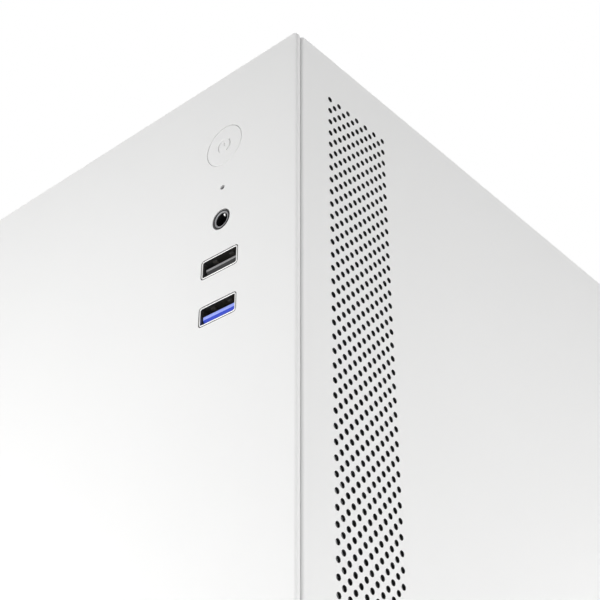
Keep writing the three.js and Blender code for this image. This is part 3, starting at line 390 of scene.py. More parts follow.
@dataclass(frozen=True)
class Finish:
    """What a surface is made of."""

    colour: Colour = (0.8, 0.8, 0.8)

    def dress(self, shader: Shader) -> None:
        """Feeds the shader of this finish."""
        raise NotImplementedError

    def material(self) -> bpy.types.Material:
        """The finish's material, made once."""
        if self not in _materials:
            shader = Shader(f"{type(self).__name__}_{len(_materials)}")
            self.dress(shader)
            _materials[self] = shader.material
        return _materials[self]


@dataclass(frozen=True)
class PowderCoat(Finish):
    """Baked powder on sheet steel: an even satin with the faintest orange peel."""

    roughness: float = 0.36
    peel: float = 0.9
    rise: float = 0.006

    def dress(self, shader: Shader) -> None:
        """Colour drifts by a hair, the sheen by a little more."""
        drift = shader.noise(60, 2)
        sheen = shader.noise(7, 3)
        shader.surface(
            base_color=shader.tint(self.colour, drift, 0.025),
            roughness=sheen * 0.07 + (self.roughness - 0.035),
            specular_ior_level=0.5,
        )
        shader.bump(shader.noise(self.peel, 2), self.rise)


@dataclass(frozen=True)
class TexturedCoat(Finish):
    """Wrinkle-textured powder on a steel box."""

    roughness: float = 0.55

    def dress(self, shader: Shader) -> None:
        """Fine wrinkles whose tops shine; the colour darkens in their hollows, painted shade."""
        wrinkle = shader.noise(0.5, 3)
        # painted shade: the colour is up to 40% darker where the wrinkles are low
        shader.surface(
            base_color=shader.tint(self.colour, wrinkle, 0.4),
            roughness=self.roughness + 0.15 - wrinkle * 0.3,
        )
        shader.bump(wrinkle.ease(0.35, 0.65), 0.05)


@dataclass(frozen=True)
class Moulded(Finish):
    """Moulded plastic with a fine spark-eroded grain."""

    roughness: float = 0.42
    grain: float = 0.22
    rise: float = 0.012

    def dress(self, shader: Shader) -> None:
        """Grain in the light, and a slow drift in sheen where the mould filled."""
        flow = shader.noise(18, 2)
        shader.surface(
            base_color=shader.tint(self.colour, flow, 0.08),
            roughness=flow * 0.1 + (self.roughness - 0.05),
        )
        shader.bump(shader.noise(self.grain, 2), self.rise)


@dataclass(frozen=True)
class GlossPlastic(Finish):
    """Smooth glossy plastic."""

    roughness: float = 0.16

    def dress(self, shader: Shader) -> None:
        """Barely uneven gloss."""
        flow = shader.noise(4, 2)
        shader.surface(
            base_color=shader.tint(self.colour, flow, 0.06), roughness=flow * 0.06 + self.roughness
        )
        shader.bump(shader.noise(2.5, 1), 0.004)


@dataclass(frozen=True)
class ZincSheet(Finish):
    """Galvanised sheet with its spangle."""

    def dress(self, shader: Shader) -> None:
        """Flakes of differing brightness under a rolled grain."""
        spangle = shader.cells(4, "Color")
        rolled = shader.noise(1.2, 4, (1.0, 0.08, 1.0))
        dull = shader.noise(30, 3)
        shader.surface(
            base_color=shader.tint(self.colour, spangle * 0.5 + dull * 0.5, 0.14),
            metallic=1.0,
            roughness=spangle * 0.08 + rolled * 0.12 + 0.34,
        )
        shader.bump(rolled, 0.006)


@dataclass(frozen=True)
class DrawnMetal(Finish):
    """Plated, drawn or brushed metal; stretch sets the way its lines run."""

    roughness: float = 0.22
    stretch: Spot = (1.0, 0.03, 1.0)
    line: float = 0.25

    def dress(self, shader: Shader) -> None:
        """Fine lines that vary the sheen."""
        lines = shader.noise(self.line, 4, self.stretch)
        cloud = shader.noise(12, 2)
        shader.surface(
            base_color=shader.tint(self.colour, lines * 0.6 + cloud * 0.4, 0.22),
            metallic=1.0,
            roughness=lines * 0.16 + cloud * 0.06 + (self.roughness - 0.1),
        )
        shader.bump(lines, 0.003)


@dataclass(frozen=True)
class CastMetal(Finish):
    """Sand-fine cast metal."""

    roughness: float = 0.5

    def dress(self, shader: Shader) -> None:
        """A pebbly skin, its colour darker in the pits: painted shade."""
        skin = shader.noise(0.7, 4)
        shader.surface(
            # painted shade: the colour is up to 30% darker where the skin is low
            base_color=shader.tint(self.colour, skin, 0.3),
            metallic=0.9,
            roughness=skin * 0.2 + (self.roughness - 0.1),
        )
        shader.bump(skin, 0.04)


@dataclass(frozen=True)
class HoleWallPaintedShade(Finish):
    """The dull punched edge of a hole, painted near-black as painted shade for the shade in and around it."""

    def dress(self, shader: Shader) -> None:
        """Streaks from the punch."""
        streak = shader.noise(0.3, 3, (0.2, 1.0, 1.0))
        # painted shade: the near-black colour of the hole walls stands for the shade inside the holes
        shader.surface(
            base_color=shader.tint(self.colour, streak, 0.4), metallic=0.6, roughness=streak * 0.2 + 0.5
        )


@dataclass(frozen=True)
class SolderMask(Finish):
    """A printed circuit board: dark lacquer over copper tracks, with small holes ringed in tin."""

    track: Colour = (0.03, 0.045, 0.035)
    flat: tuple[int, int] = (1, 2)

    def dress(self, shader: Shader) -> None:
        """Tracks that run straight and turn in steps, and plated holes here and there."""
        across, up = (shader.axes()[i] for i in self.flat)
        region = shader.cells(26, "Color", {"distance": "CHEBYCHEV"})
        along = region.above(0.5)
        lane = across * along + up * (1 - along)
        busy = shader.noise(14, 1).above(0.47)
        tracks = lane.wave(0.9).above(0.55) * busy
        via = shader.cells(3.4).below(0.12) * shader.noise(9, 1).above(0.5)
        tinned = shader.mix(via, self.colour, (0.45, 0.46, 0.42))
        shader.surface(
            base_color=shader.mix(tracks * (1 - via), tinned, self.track),
            roughness=0.3 - tracks * 0.06 + shader.noise(5, 2) * 0.1,
            metallic=via,
        )
        shader.bump(tracks + via, 0.02)


@dataclass(frozen=True)
class SoftRubber(Finish):
    """Matt rubber that picks up a little dust."""

    def dress(self, shader: Shader) -> None:
        """Dust in blotches, and a fine grain."""
        dust = shader.noise(5, 4)
        shader.surface(
            base_color=shader.mix(dust.ease(0.45, 0.85) * 0.25, self.colour, (0.12, 0.12, 0.12)),
            roughness=dust * 0.15 + 0.72,
        )
        shader.bump(shader.noise(0.35, 3), 0.03)


@dataclass(frozen=True)
class CableJacket(Finish):
    """Extruded soft plastic on a wire."""

    roughness: float = 0.42

    def dress(self, shader: Shader) -> None:
        """A slightly scuffed sheen."""
        scuff = shader.noise(3, 3)
        shader.surface(
            base_color=shader.tint(self.colour, scuff, 0.25), roughness=scuff * 0.2 + self.roughness - 0.1
        )
        shader.bump(shader.noise(0.8, 2), 0.012)


@dataclass(frozen=True)
class WovenMesh(Finish):
    """A fine nylon mesh that stops dust."""

    pitch: float = 0.8

    def dress(self, shader: Shader) -> None:
        """Threads both ways, with the gaps between them painted near-black: painted shade for the dark seen through the
        open weave.
        """
        across, along, _ = shader.axes()
        thread = across.wave(self.pitch).highest(along.wave(self.pitch))
        # painted shade: the open gaps are coloured near-black instead of being cut through
        gap_painted_shade = thread.below(0.55)
        shader.surface(
            base_color=shader.mix(
                gap_painted_shade, self.colour, (0.002, 0.002, 0.002)
            ), roughness=0.5 + gap_painted_shade * 0.4
        )
        shader.bump(thread, 0.15)


@dataclass(frozen=True)
class Paper(Finish):
    """A printed sticker with nothing on it but its ground."""

    def dress(self, shader: Shader) -> None:
        """Slightly uneven foil."""
        shader.surface(
            base_color=shader.tint(self.colour, shader.noise(3, 3), 0.1),
            roughness=shader.noise(1.5, 2) * 0.2 + 0.3,
            metallic=0.3,
        )


@dataclass(frozen=True)
class Glow(Finish):
    """A light pipe of smoked plastic."""

    def dress(self, shader: Shader) -> None:
        """Dark, glossy and a little cloudy."""
        cloud = shader.noise(0.6, 2)
        shader.surface(base_color=shader.tint(self.colour, cloud, 0.3), roughness=cloud * 0.1 + 0.15)
        shader.bump(cloud, 0.01)


WHITE_COAT = PowderCoat((0.84, 0.84, 0.835))
WHITE_FRONT = PowderCoat((0.85, 0.85, 0.845), roughness=0.4, peel=1.1, rise=0.004)
WHITE_CAP = PowderCoat((0.84, 0.84, 0.835), roughness=0.42, peel=0.8, rise=0.004)
BLACK_COAT = TexturedCoat((0.02, 0.02, 0.022))
BLACK_PLASTIC = Moulded((0.018, 0.018, 0.02))
SOCKET_PLASTIC = GlossPlastic((0.012, 0.012, 0.013), 0.2)
GREY_PLASTIC = Moulded((0.2, 0.2, 0.21))
BLUE_PLASTIC = GlossPlastic((0.01, 0.07, 0.8), 0.22)
ZINC = ZincSheet((0.62, 0.63, 0.64))
PLATED = DrawnMetal((0.86, 0.86, 0.85), 0.2)
NICKEL = DrawnMetal((0.78, 0.78, 0.77), 0.28, (1.0, 1.0, 1.0), 0.6)
ALUMINIUM = DrawnMetal((0.8, 0.81, 0.82), 0.34, (1.0, 1.0, 0.04), 0.3)
CAST = CastMetal((0.42, 0.43, 0.44))
FAN_PLASTIC = Moulded((0.024, 0.024, 0.026), 0.36, 0.5, 0.008)
DARK_ALUMINIUM = DrawnMetal((0.16, 0.165, 0.17), 0.4, (1.0, 1.0, 0.04), 0.3)
SCREW_BLACK = DrawnMetal((0.06, 0.06, 0.062), 0.35, (1.0, 1.0, 1.0), 0.5)
SOUND_GREEN = Moulded((0.16, 0.5, 0.16), 0.4)
SOUND_PINK = Moulded((0.7, 0.26, 0.34), 0.4)
SOUND_BLUE = Moulded((0.16, 0.36, 0.7), 0.4)
GUNMETAL = DrawnMetal((0.3, 0.3, 0.31), 0.42, (1.0, 1.0, 1.0), 0.6)
# painted shade: a dark plate for the insides of sockets and the spring leaves in them, standing for the shade there
DARK_PLATE_PAINTED_SHADE = DrawnMetal((0.22, 0.22, 0.222), 0.45, (1.0, 0.05, 1.0), 0.3)
# painted highlight: grey for the USB 2 insert's front face on a black insert, where light catches that face
GREY_FACE_PAINTED_HIGHLIGHT = Moulded((0.24, 0.24, 0.245), 0.5)
DEEP_BLUE = Moulded((0.006, 0.045, 0.62), 0.6, 0.5, 0.008)
# painted highlight: a lighter copy of the USB 3 insert's blue for its front face, where light catches it
BLUE_FACE_PAINTED_HIGHLIGHT = GlossPlastic((0.3, 0.38, 0.95), 0.3)
GOLD = DrawnMetal((0.9, 0.66, 0.26), 0.25, (1.0, 1.0, 1.0), 0.5)
COPPER = DrawnMetal((0.72, 0.36, 0.2), 0.3, (1.0, 1.0, 1.0), 0.5)
# painted shade: near-black walls for the side panels' vent holes, standing for the shade in them
HOLE_WALL_PAINTED_SHADE = HoleWallPaintedShade((0.05, 0.05, 0.052))
BOARD = SolderMask((0.006, 0.008, 0.008))
GREEN_BOARD = SolderMask((0.008, 0.05, 0.02), (0.02, 0.11, 0.04))
RUBBER = SoftRubber((0.022, 0.022, 0.023))
CABLE = CableJacket((0.013, 0.013, 0.014))
MESH = WovenMesh((0.03, 0.03, 0.032))
LABEL = Paper((0.5, 0.51, 0.52))
SMOKED = Glow((0.03, 0.03, 0.032))
BEIGE = Moulded((0.55, 0.52, 0.44), 0.5)
WIRE_YELLOW = CableJacket((0.6, 0.42, 0.03))
WHITE_PLASTIC = Moulded((0.72, 0.72, 0.7), 0.5)


# ---------------------------------------------------------------- outlines
class Axis(Enum):
    """The axis that an outline's thickness runs along; its (u, v) are the other two, in order."""

    X = 0
    Y = 1
    Z = 2

    def spot(self, u: float, v: float, w: float) -> Spot:
        """The place of outline point (u, v) at w along the axis."""
        return {Axis.X: (w, u, v), Axis.Y: (u, w, v), Axis.Z: (u, v, w)}[self]


@dataclass(frozen=True)
class Slab:
    """A rectangle with round corners."""

    u: Span
    v: Span
    radius: float = 0.01
    steps: int = 5

    def points(self, grow: float = 0.0) -> list[Point]:
        """The outline, grown outwards by a distance, anticlockwise."""
        radius = max(self.radius + grow, 0.01)
        u0, u1 = self.u[0] - grow + radius, self.u[1] + grow - radius
        v0, v1 = self.v[0] - grow + radius, self.v[1] + grow - radius
        corners = [(u1, v0, -90), (u1, v1, 0), (u0, v1, 90), (u0, v0, 180)]
        made = []
        for u, v, start in corners:
            for i in range(self.steps + 1):
                angle = math.radians(start + 90 * i / self.steps)
                made.append((u + radius * math.cos(angle), v + radius * math.sin(angle)))
        return made


@dataclass(frozen=True)
class Disc:
    """A circle, or a regular polygon where it has few sides."""

    u: float
    v: float
    radius: float
    sides: int = 32
    turn: float = 0.0

    def points(self, grow: float = 0.0) -> list[Point]:
        """The outline, grown outwards by a distance, anticlockwise."""
        angles = [self.turn + 2 * math.pi * i / self.sides for i in range(self.sides)]
        radius = self.radius + grow
        return [(self.u + radius * math.cos(a), self.v + radius * math.sin(a)) for a in angles]


@dataclass(frozen=True)
class Arc:
    """A stretch of a ring with square ends, such as an engraved stroke."""

    u: float
    v: float
    radius: float
    width: float
    span: Span
    steps: int = 28

    def points(self, grow: float = 0.0) -> list[Point]:
        """The outline, its width grown by a distance each side, anticlockwise."""
        half = self.width / 2 + grow
        low, high = (math.radians(a) for a in self.span)
        angles = [low + (high - low) * i / self.steps for i in range(self.steps + 1)]
        outer = [(self.radius + half, a) for a in angles]
        inner = [(self.radius - half, a) for a in reversed(angles)]
        return [(self.u + r * math.cos(a), self.v + r * math.sin(a)) for r, a in outer + inner]


@dataclass(frozen=True)
class Polygon:
    """A closed outline through its corners."""

    corners: tuple[Point, ...]

    def points(self, grow: float = 0.0) -> list[Point]:
        """The outline, each corner moved outwards so that every side moves by the distance."""
        count = len(self.corners)
        made = []
        for i, (u, v) in enumerate(self.corners):
            before, after = Vector(self.corners[i - 1]), Vector(self.corners[(i + 1) % count])
            here = Vector((u, v))
            first, second = (here - before).normalized(), (after - here).normalized()
            normals = Vector((first.y, -first.x)), Vector((second.y, -second.x))
            bisector = (normals[0] + normals[1]).normalized()
            made.append(tuple(here + bisector * (grow / max(bisector.dot(normals[0]), 0.3))))
        return made


Shape = Slab | Disc | Arc | Polygon


def honeycomb(u: Span, v: Span, across: float, web: float) -> Iterator[Disc]:
    """Hexagonal holes that fill a rectangle.

    Args:
        u: The rectangle's first span.
        v: Its second span.
        across: A hole's size between two flats.
        web: The metal left between two holes.

    Yields:
        The holes.
    """
    pitch = across + web
    rise = pitch * math.sqrt(3) / 2
    rows = int((v[1] - v[0] - across) / rise) + 1
    columns = int((u[1] - u[0] - across) / pitch) + 1
    left = (u[0] + u[1] - (columns - 1) * pitch) / 2
    low = (v[0] + v[1] - (rows - 1) * rise) / 2
    for row in range(rows):
        odd = row % 2
        for column in range(columns - odd):
            centre = left + (column + odd / 2) * pitch
            yield Disc(centre, low + row * rise, across / math.sqrt(3), 6, math.pi / 6)


# ---------------------------------------------------------------- forms
Ring = list[bmesh.types.BMVert]


def plate_profile(span: Span, edge: tuple[float, float], steps: int, way: int) -> list[tuple[float, float]]:
    """The rings of a plate's wall, from one face to the other, with rounded edges.

    Args:
        span: Where the plate starts and ends.
        edge: The radius of the edge at the start and at the end.
        steps: Segments in each radius.
        way: -1 where the edges are cut back inwards, 1 where a hole's edges open outwards.

    Returns:
        How far each ring is grown, and its place.
    """

    def turn(radius: float, place: float, inwards: int) -> list[tuple[float, float]]:
        """The rings of one rounded edge, from the face inwards."""
        if radius <= 0:
            return [(0.0, place)]
        angles = [math.pi / 2 * i / steps for i in range(steps + 1)]
        return [
            (way * radius * (1 - math.sin(a)), place + inwards * radius * (1 - math.cos(a))) for a in angles
        ]

    return turn(edge[0], span[0], 1) + turn(edge[1], span[1], -1)[::-1]


@dataclass
class Site:
    """Where the case stands in the row: what turns case millimetres into the row's metres."""

    front: float

    def spot(self, place: Spot) -> Spot:
        """A place in the row's metres."""
        return (place[0] * MM, self.front + place[1] * MM, place[2] * MM)

    def box(self, node: str) -> tuple[Vector, Vector]:
        """A CAD node's lowest and highest corners in case millimetres."""
        low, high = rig.box(node)
        shift = Vector((0, self.front, 0))
        return (Vector(low) - shift) / MM, (Vector(high) - shift) / MM


class Form:
    """A mesh under construction, in millimetres of the case frame."""

    def __init__(self, finish: Finish) -> None:
        """Starts empty, with the finish that faces take until another is chosen."""
        self.bm = bmesh.new()
        self.finishes = [finish]
        self.index = 0

    def use(self, finish: Finish) -> Form:
        """Faces made from here on take this finish."""
        if finish not in self.finishes:
            self.finishes.append(finish)
        self.index = self.finishes.index(finish)
        return self

    def ring(self, spots: Iterable[Spot]) -> Ring:
        """New vertices at the given places."""
        return [self.bm.verts.new(spot) for spot in spots]

    def face(self, ring: Sequence[bmesh.types.BMVert]) -> None:
        """One face, if it isn't there yet."""
        try:
            made = self.bm.faces.new(ring)
        except ValueError:
            return
        made.material_index = self.index

    def wall(self, first: Ring, second: Ring, closed: bool = True) -> None:
        """Quads between two rings of as many vertices.

        Args:
            first: One ring.
            second: The other.
            closed: Whether the last vertex joins the first.
        """
        count = len(first)
        for i in range(count if closed else count - 1):
            j = (i + 1) % count
            self.face([first[i], first[j], second[j], second[i]])

    def fill(self, rings: Sequence[Ring], edges: Sequence[bmesh.types.BMEdge] = ()) -> None:
        """Fills the flat region inside the first ring and outside the others.

        Args:
            rings: The closed boundaries.
            edges: Boundary edges that are there already.
        """
        bounds = list(edges)
        for ring in rings:
            for i, vert in enumerate(ring):
                pair = (vert, ring[(i + 1) % len(ring)])
                bounds.append(self.bm.edges.get(pair) or self.bm.edges.new(pair))
        made = bmesh.ops.triangle_fill(self.bm, use_beauty=True, use_dissolve=False, edges=bounds)
        for item in made["geom"]:
            if isinstance(item, bmesh.types.BMFace):
                item.material_index = self.index

    def plate(
        self,
        shape: Shape,
        axis: Axis,
        span: Span,
        holes: Sequence[Shape] = (),
        edge: tuple[float, float] = (0.0, 0.0),
        lip: float = 0.0,
        steps: int = 4,
        pockets: Sequence[tuple[Shape, float, Finish]] = (),
    ) -> Form:
        """A flat piece with holes through it.

        Args:
            shape: Its outline.
            axis: The axis of its thickness.
            span: Where it starts and ends along the axis.
            holes: The outlines of its holes.
            edge: The radius of its outer edges at the start and at the end.
            lip: The radius of the holes' edges at the start.
            steps: Segments in each radius.
            pockets: Hollows in the face at the start: each one's outline, depth and the finish of its floor.

        Returns:
            This form.
        """
        rims = [self.skin(shape, axis, plate_profile(span, edge, steps, -1))]
        for hole in holes:
            rims.append(self.skin(hole, axis, plate_profile(span, (lip, 0.0), steps, 1)))
        kept = self.finishes[self.index]
        fronts, backs = ([rim[end] for rim in rims] for end in (0, 1))
        for pocket, depth, floor in pockets:
            mouth, bottom = self.skin(
                pocket, axis, plate_profile((span[0], span[0] + depth), (lip, 0.0), steps, 1)
            )
            fronts.append(mouth)
            self.use(floor).fill([bottom])
            self.use(kept)
        self.fill(fronts)
        self.fill(backs)
        return self

    def skin(self, shape: Shape, axis: Axis, profile: Sequence[tuple[float, float]]) -> tuple[Ring, Ring]:
        """The wall through an outline's rings.

        Args:
            shape: The outline.
            axis: The axis that the wall runs along.
            profile: How far each ring is grown, and its place along the axis.

        Returns:
            The first ring and the last.
        """
        rings = [self.ring(axis.spot(*p, w) for p in shape.points(grow)) for grow, w in profile]
        for first, second in zip(rings, rings[1:]):
            self.wall(first, second)
        return rings[0], rings[-1]

    def box(self, x: Span, y: Span, z: Span) -> Form:
        """A plain box between two values on each axis, to be softened by a bevel."""
        low, high = (
            self.ring([(x[0], y[0], h), (x[1], y[0], h), (x[1], y[1], h), (x[0], y[1], h)]) for h in z
        )
        self.wall(low, high)
        self.face(low)
        self.face(high)
        return self

    def turned(self, profile: Sequence[Point], axis: Axis, centre: Point, steps: int = 32) -> Form:
        """A turned body.

        Args:
            profile: Its (radius, place along the axis) points, from axis to axis or closed on itself.
            axis: The axis it turns about.
            centre: Where that axis is.
            steps: Segments round it.

        Returns:
            This form.
        """
        rings = []
        for radius, w in profile:
            outline = Disc(*centre, max(radius, 0.0), steps).points()
            sides = outline if radius > 1e-6 else [centre]
            rings.append(self.ring(axis.spot(*p, w) for p in sides))
        open_ends = len(rings[0]) == 1 and len(rings[-1]) == 1
        for first, second in zip(rings, rings[1:] if open_ends else rings[1:] + rings[:1]):
            self._bridge(first, second)
        return self

    def _bridge(self, first: Ring, second: Ring) -> None:
        """Joins two rings, either of which may be a single vertex."""
        if len(first) == 1 and len(second) == 1:
            return
        if len(first) > 1 and len(second) > 1:
            self.wall(first, second)
            return
        tip, rim = (first[0], second) if len(first) == 1 else (second[0], first)
        for i, vert in enumerate(rim):
            self.face([tip, vert, rim[(i + 1) % len(rim)]])

    def rod(
        self, axis: Axis, centre: Point, span: Span, radius: float, edge: float = 0.0, steps: int = 20
    ) -> Form:
        """A round bar whose ends' edges are chamfered."""
        low, high = span
        profile = [(0, low), (radius - edge, low), (radius, low + edge), (radius, high - edge)]
        profile += [(radius - edge, high), (0, high)]
        return self.turned(profile, axis, centre, steps)

    def tube(self, path: Sequence[Vector], radius: float, sides: int = 10, closed: bool = False) -> Form:
        """A round section swept along a path.

        Args:
            path: The points it follows.
            radius: Its radius.
            sides: Segments round it.
            closed: Whether the path closes on itself.

        Returns:
            This form.
        """
        rings = [
            self.ring(
                tuple(at + (side * math.cos(a) + up * math.sin(a)) * radius)
                for a in (2 * math.pi * i / sides for i in range(sides))
            )
            for at, side, up in frames(path, closed)
        ]
        for first, second in zip(rings, rings[1:] + (rings[:1] if closed else [])):
            self.wall(first, second)
        if not closed:
            self.face(rings[0])
            self.face(rings[-1])
        return self

    def strip(self, rows: Sequence[Sequence[Spot]], closed: bool = False) -> Form:
        """A skin through rows of points; a closed one's rows are rings, and its two ends are filled."""
        rings = [self.ring(row) for row in rows]
        for first, second in zip(rings, rings[1:]):
            self.wall(first, second, closed)
        if closed:
            self.face(rings[0])
            self.face(rings[-1])
        return self

    def move(self, matrix: Matrix) -> Form:
        """Moves everything made so far."""
        bmesh.ops.transform(self.bm, matrix=matrix, verts=self.bm.verts)
        return self

    def place(
        self,
        name: str,
        body: str,
        slot: str,
        site: Site,
        stands_for: Sequence[str] = (),
        bevel: float = 0.0,
        crease: float = 38.0,
        segments: int = 2,
    ) -> bpy.types.Object:
        """Turns the form into a piece that rides on a body.

        Args:
            name: The piece's name.
            body: The CAD body it moves with.
            slot: The record's material slot.
            site: Where the case stands.
            stands_for: The CAD nodes it replaces.
            bevel: The radius that softens its sharp edges.
            crease: Edges over this angle, in degrees, stay sharp or are bevelled.
            segments: Segments in the bevel.

        Returns:
            The piece.
        """
        bmesh.ops.recalc_face_normals(self.bm, faces=self.bm.faces)
        limit = math.radians(crease)
        for edge in self.bm.edges:
            edge.smooth = bevel > 0 or (len(edge.link_faces) == 2 and edge.calc_face_angle(0.0) < limit)
        self.move(Matrix.Translation((0, site.front, 0)) @ Matrix.Scale(MM, 4))
        mesh = bpy.data.meshes.new(name)
        self.bm.to_mesh(mesh)
        self.bm.free()
        mesh.polygons.foreach_set("use_smooth", [True] * len(mesh.polygons))
        for finish in self.finishes:
            mesh.materials.append(finish.material())
        piece = bpy.data.objects.new(name, mesh)
        bpy.context.scene.collection.objects.link(piece)
        soften(piece, bevel, crease, segments)
        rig.ride(piece, body)
        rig.slot(piece, slot)
        if stands_for:
            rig.replaces(piece, *stands_for)
        log.info("%s on %s: %d faces", name, body, len(mesh.polygons))
        return piece


def frames(path: Sequence[Vector], closed: bool = False) -> Iterator[tuple[Vector, Vector, Vector]]:
    """Each point of a path with two directions across it that don't twist.

    Args:
        path: The points.
        closed: Whether the path closes on itself.

    Yields:
        The point and the two directions.
    """
    points = [Vector(p) for p in path]
    count = len(points)
    side = None
    for i, point in enumerate(points):
        ahead = points[(i + 1) % count] if closed or i + 1 < count else point
        behind = points[i - 1] if closed or i else point
        along = (ahead - behind).normalized()
        if side is None:
            side = along.orthogonal()
        side = (side - along * side.dot(along)).normalized()
        yield point, side, along.cross(side)


def spline_point(points: Sequence[Vector], knots: Sequence[float], t: float) -> Vector:
    """A point between the middle two of four points, on the smooth curve through them all.

    Args:
        points: The four points.
        knots: The curve's value at each.
        t: The value wanted.

    Returns:
        The point.
    """

    def blend(first: Vector, second: Vector, low: int, high: int) -> Vector:
        """Between two points, by where t is between two knots."""
        return first.lerp(second, (t - knots[low]) / (knots[high] - knots[low]))

    sides = [blend(points[i], points[i + 1], i, i + 1) for i in range(3)]
    first, second = blend(sides[0], sides[1], 0, 2), blend(sides[1], sides[2], 1, 3)
    return blend(first, second, 1, 2)


def smooth_path(points: Sequence[Spot], step: float) -> list[Vector]:
    """A smooth route through given points.

    Args:
        points: The points.
        step: The distance between the route's points.

    Returns:
        The route.
    """
    route = [Vector(p) for p in points]
    padded = [route[0] * 2 - route[1], *route, route[-1] * 2 - route[-2]]
    made = []
    for a, b, c, d in zip(padded, padded[1:], padded[2:], padded[3:]):
        knots = [0.0]
        for first, second in ((a, b), (b, c), (c, d)):
            knots.append(knots[-1] + max((second - first).length, 1e-6) ** 0.5)
        count = max(2, round((c - b).length / step))
        for i in range(count):
            t = knots[1] + (knots[2] - knots[1]) * i / count
            made.append(spline_point((a, b, c, d), knots, t))
    return [*made, route[-1]]


def soften(piece: bpy.types.Object, bevel: float, crease: float, segments: int) -> None:
    """Rounds a piece's sharp edges and evens the shading of its flats.

    Args:
        piece: The piece.
        bevel: The radius in millimetres, or 0 for none.
        crease: The angle in degrees over which an edge is sharp.
        segments: Segments in each edge.
    """
    if bevel:
        rounded = piece.modifiers.new("rounded_edges", "BEVEL")
        rounded.width = bevel * MM
        rounded.segments = segments
        rounded.limit_method = "ANGLE"
        rounded.angle_limit = math.radians(crease)
        rounded.use_clamp_overlap = True
    even = piece.modifiers.new("even_shading", "WEIGHTED_NORMAL")
    even.keep_sharp = True


# ---------------------------------------------------------------- studio
@dataclass(frozen=True)
class Softbox:
    """A rectangular soft light that looks at a point; places are in the row's metres."""

    name: str
    at: Spot
    towards: Spot
    size: tuple[float, float]
    power: float
    spread: float = 180.0

    def light(self) -> None:
        """Hangs the light."""
        data = bpy.data.lights.new(self.name, "AREA")
        data.shape = "RECTANGLE"
        data.size, data.size_y = self.size
        data.energy = self.power
        data.spread = math.radians(self.spread)
        lamp = bpy.data.objects.new(self.name, data)
        lamp.location = self.at
        lamp.rotation_mode = "QUATERNION"
        lamp.rotation_quaternion = (Vector(self.towards) - Vector(self.at)).to_track_quat("-Z", "Y")
        lamp.visible_camera = False
        bpy.context.scene.collection.objects.link(lamp)


@dataclass(frozen=True)
class Studio:
    """The camera, the pale floor and the soft light around the tower, in the row's metres."""

    camera_at: Spot = (0.2556, -0.36165, 0.1398)
    camera_forward: Spot = (-0.5526, 0.6339, 0.5412)
    lens: float = 72.07
    surround: float = 0.2
    floor_half: float = 4.0
    boxes: tuple[Softbox, ...] = (
        Softbox("front_box", (-0.11, -0.435, 0.238), (-0.11, 0.0, 0.238), (0.475, 0.285), 1.0),
        Softbox("right_box", (0.42, 0.045, 0.14), (0.0, 0.045, 0.14), (0.78, 0.44), 1.78),
        Softbox("left_box", (-0.5, -0.02, 0.22), (0.0, -0.02, 0.2), (0.76, 0.46), 1.5),
        Softbox("rear_box", (0.05, 0.75, 0.3), (0.0, 0.18, 0.2), (0.6, 0.5), 1.8),
        Softbox("overhead", (-0.1, 0.1, 1.3), (-0.1, 0.1, 0.0), (1.0, 1.0), 4.5),
    )

    def build(self) -> None:
        """Sets up the whole studio."""
        self._camera()
        self._surround()
        self._floor()
        for box in self.boxes:
            box.light()
        bpy.context.scene.view_settings.view_transform = "Standard"

    def _camera(self) -> None:
        """The camera, low and close, looking up at the top front corner."""
        data = bpy.data.cameras.new("camera")
        data.lens = self.lens
        data.clip_start = 0.01
        camera = bpy.data.objects.new("camera", data)
        camera.location = self.camera_at
        camera.rotation_mode = "QUATERNION"
        camera.rotation_quaternion = Vector(self.camera_forward).to_track_quat("-Z", "Y")
        bpy.context.scene.collection.objects.link(camera)
        bpy.context.scene.camera = camera

    def _surround(self) -> None:
        """A white room: little light of its own, but white to the camera and in reflections."""
        world = bpy.data.worlds.new("surround")
        world.use_nodes = True
        tree = world.node_tree
        tree.nodes.clear()
        lit = tree.nodes.new("ShaderNodeBackground")
        seen = tree.nodes.new("ShaderNodeBackground")
        lit.inputs["Strength"].default_value = self.surround
        lit.inputs["Color"].default_value = (1, 1, 1, 1)
        seen.inputs["Color"].default_value = (1, 1, 1, 1)
        rays = tree.nodes.new("ShaderNodeLightPath")
        mixed = tree.nodes.new("ShaderNodeMixShader")
        out = tree.nodes.new("ShaderNodeOutputWorld")
        tree.links.new(rays.outputs["Is Diffuse Ray"], mixed.inputs[0])
        tree.links.new(seen.outputs[0], mixed.inputs[1])
        tree.links.new(lit.outputs[0], mixed.inputs[2])
        tree.links.new(mixed.outputs[0], out.inputs[0])
        bpy.context.scene.world = world

    def _floor(self) -> None:
        """A wide pale floor."""
        half = self.floor_half
        mesh = bpy.data.meshes.new("floor")
        mesh.from_pydata(
            [(-half, -half, 0), (half, -half, 0), (half, half, 0), (-half, half, 0)], [], [(0, 1, 2, 3)]
        )
        mesh.materials.append(PowderCoat((0.8, 0.8, 0.8), 0.7, 3.0).material())
        floor = bpy.data.objects.new("floor", mesh)
        bpy.context.scene.collection.objects.link(floor)
        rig.stage(floor)


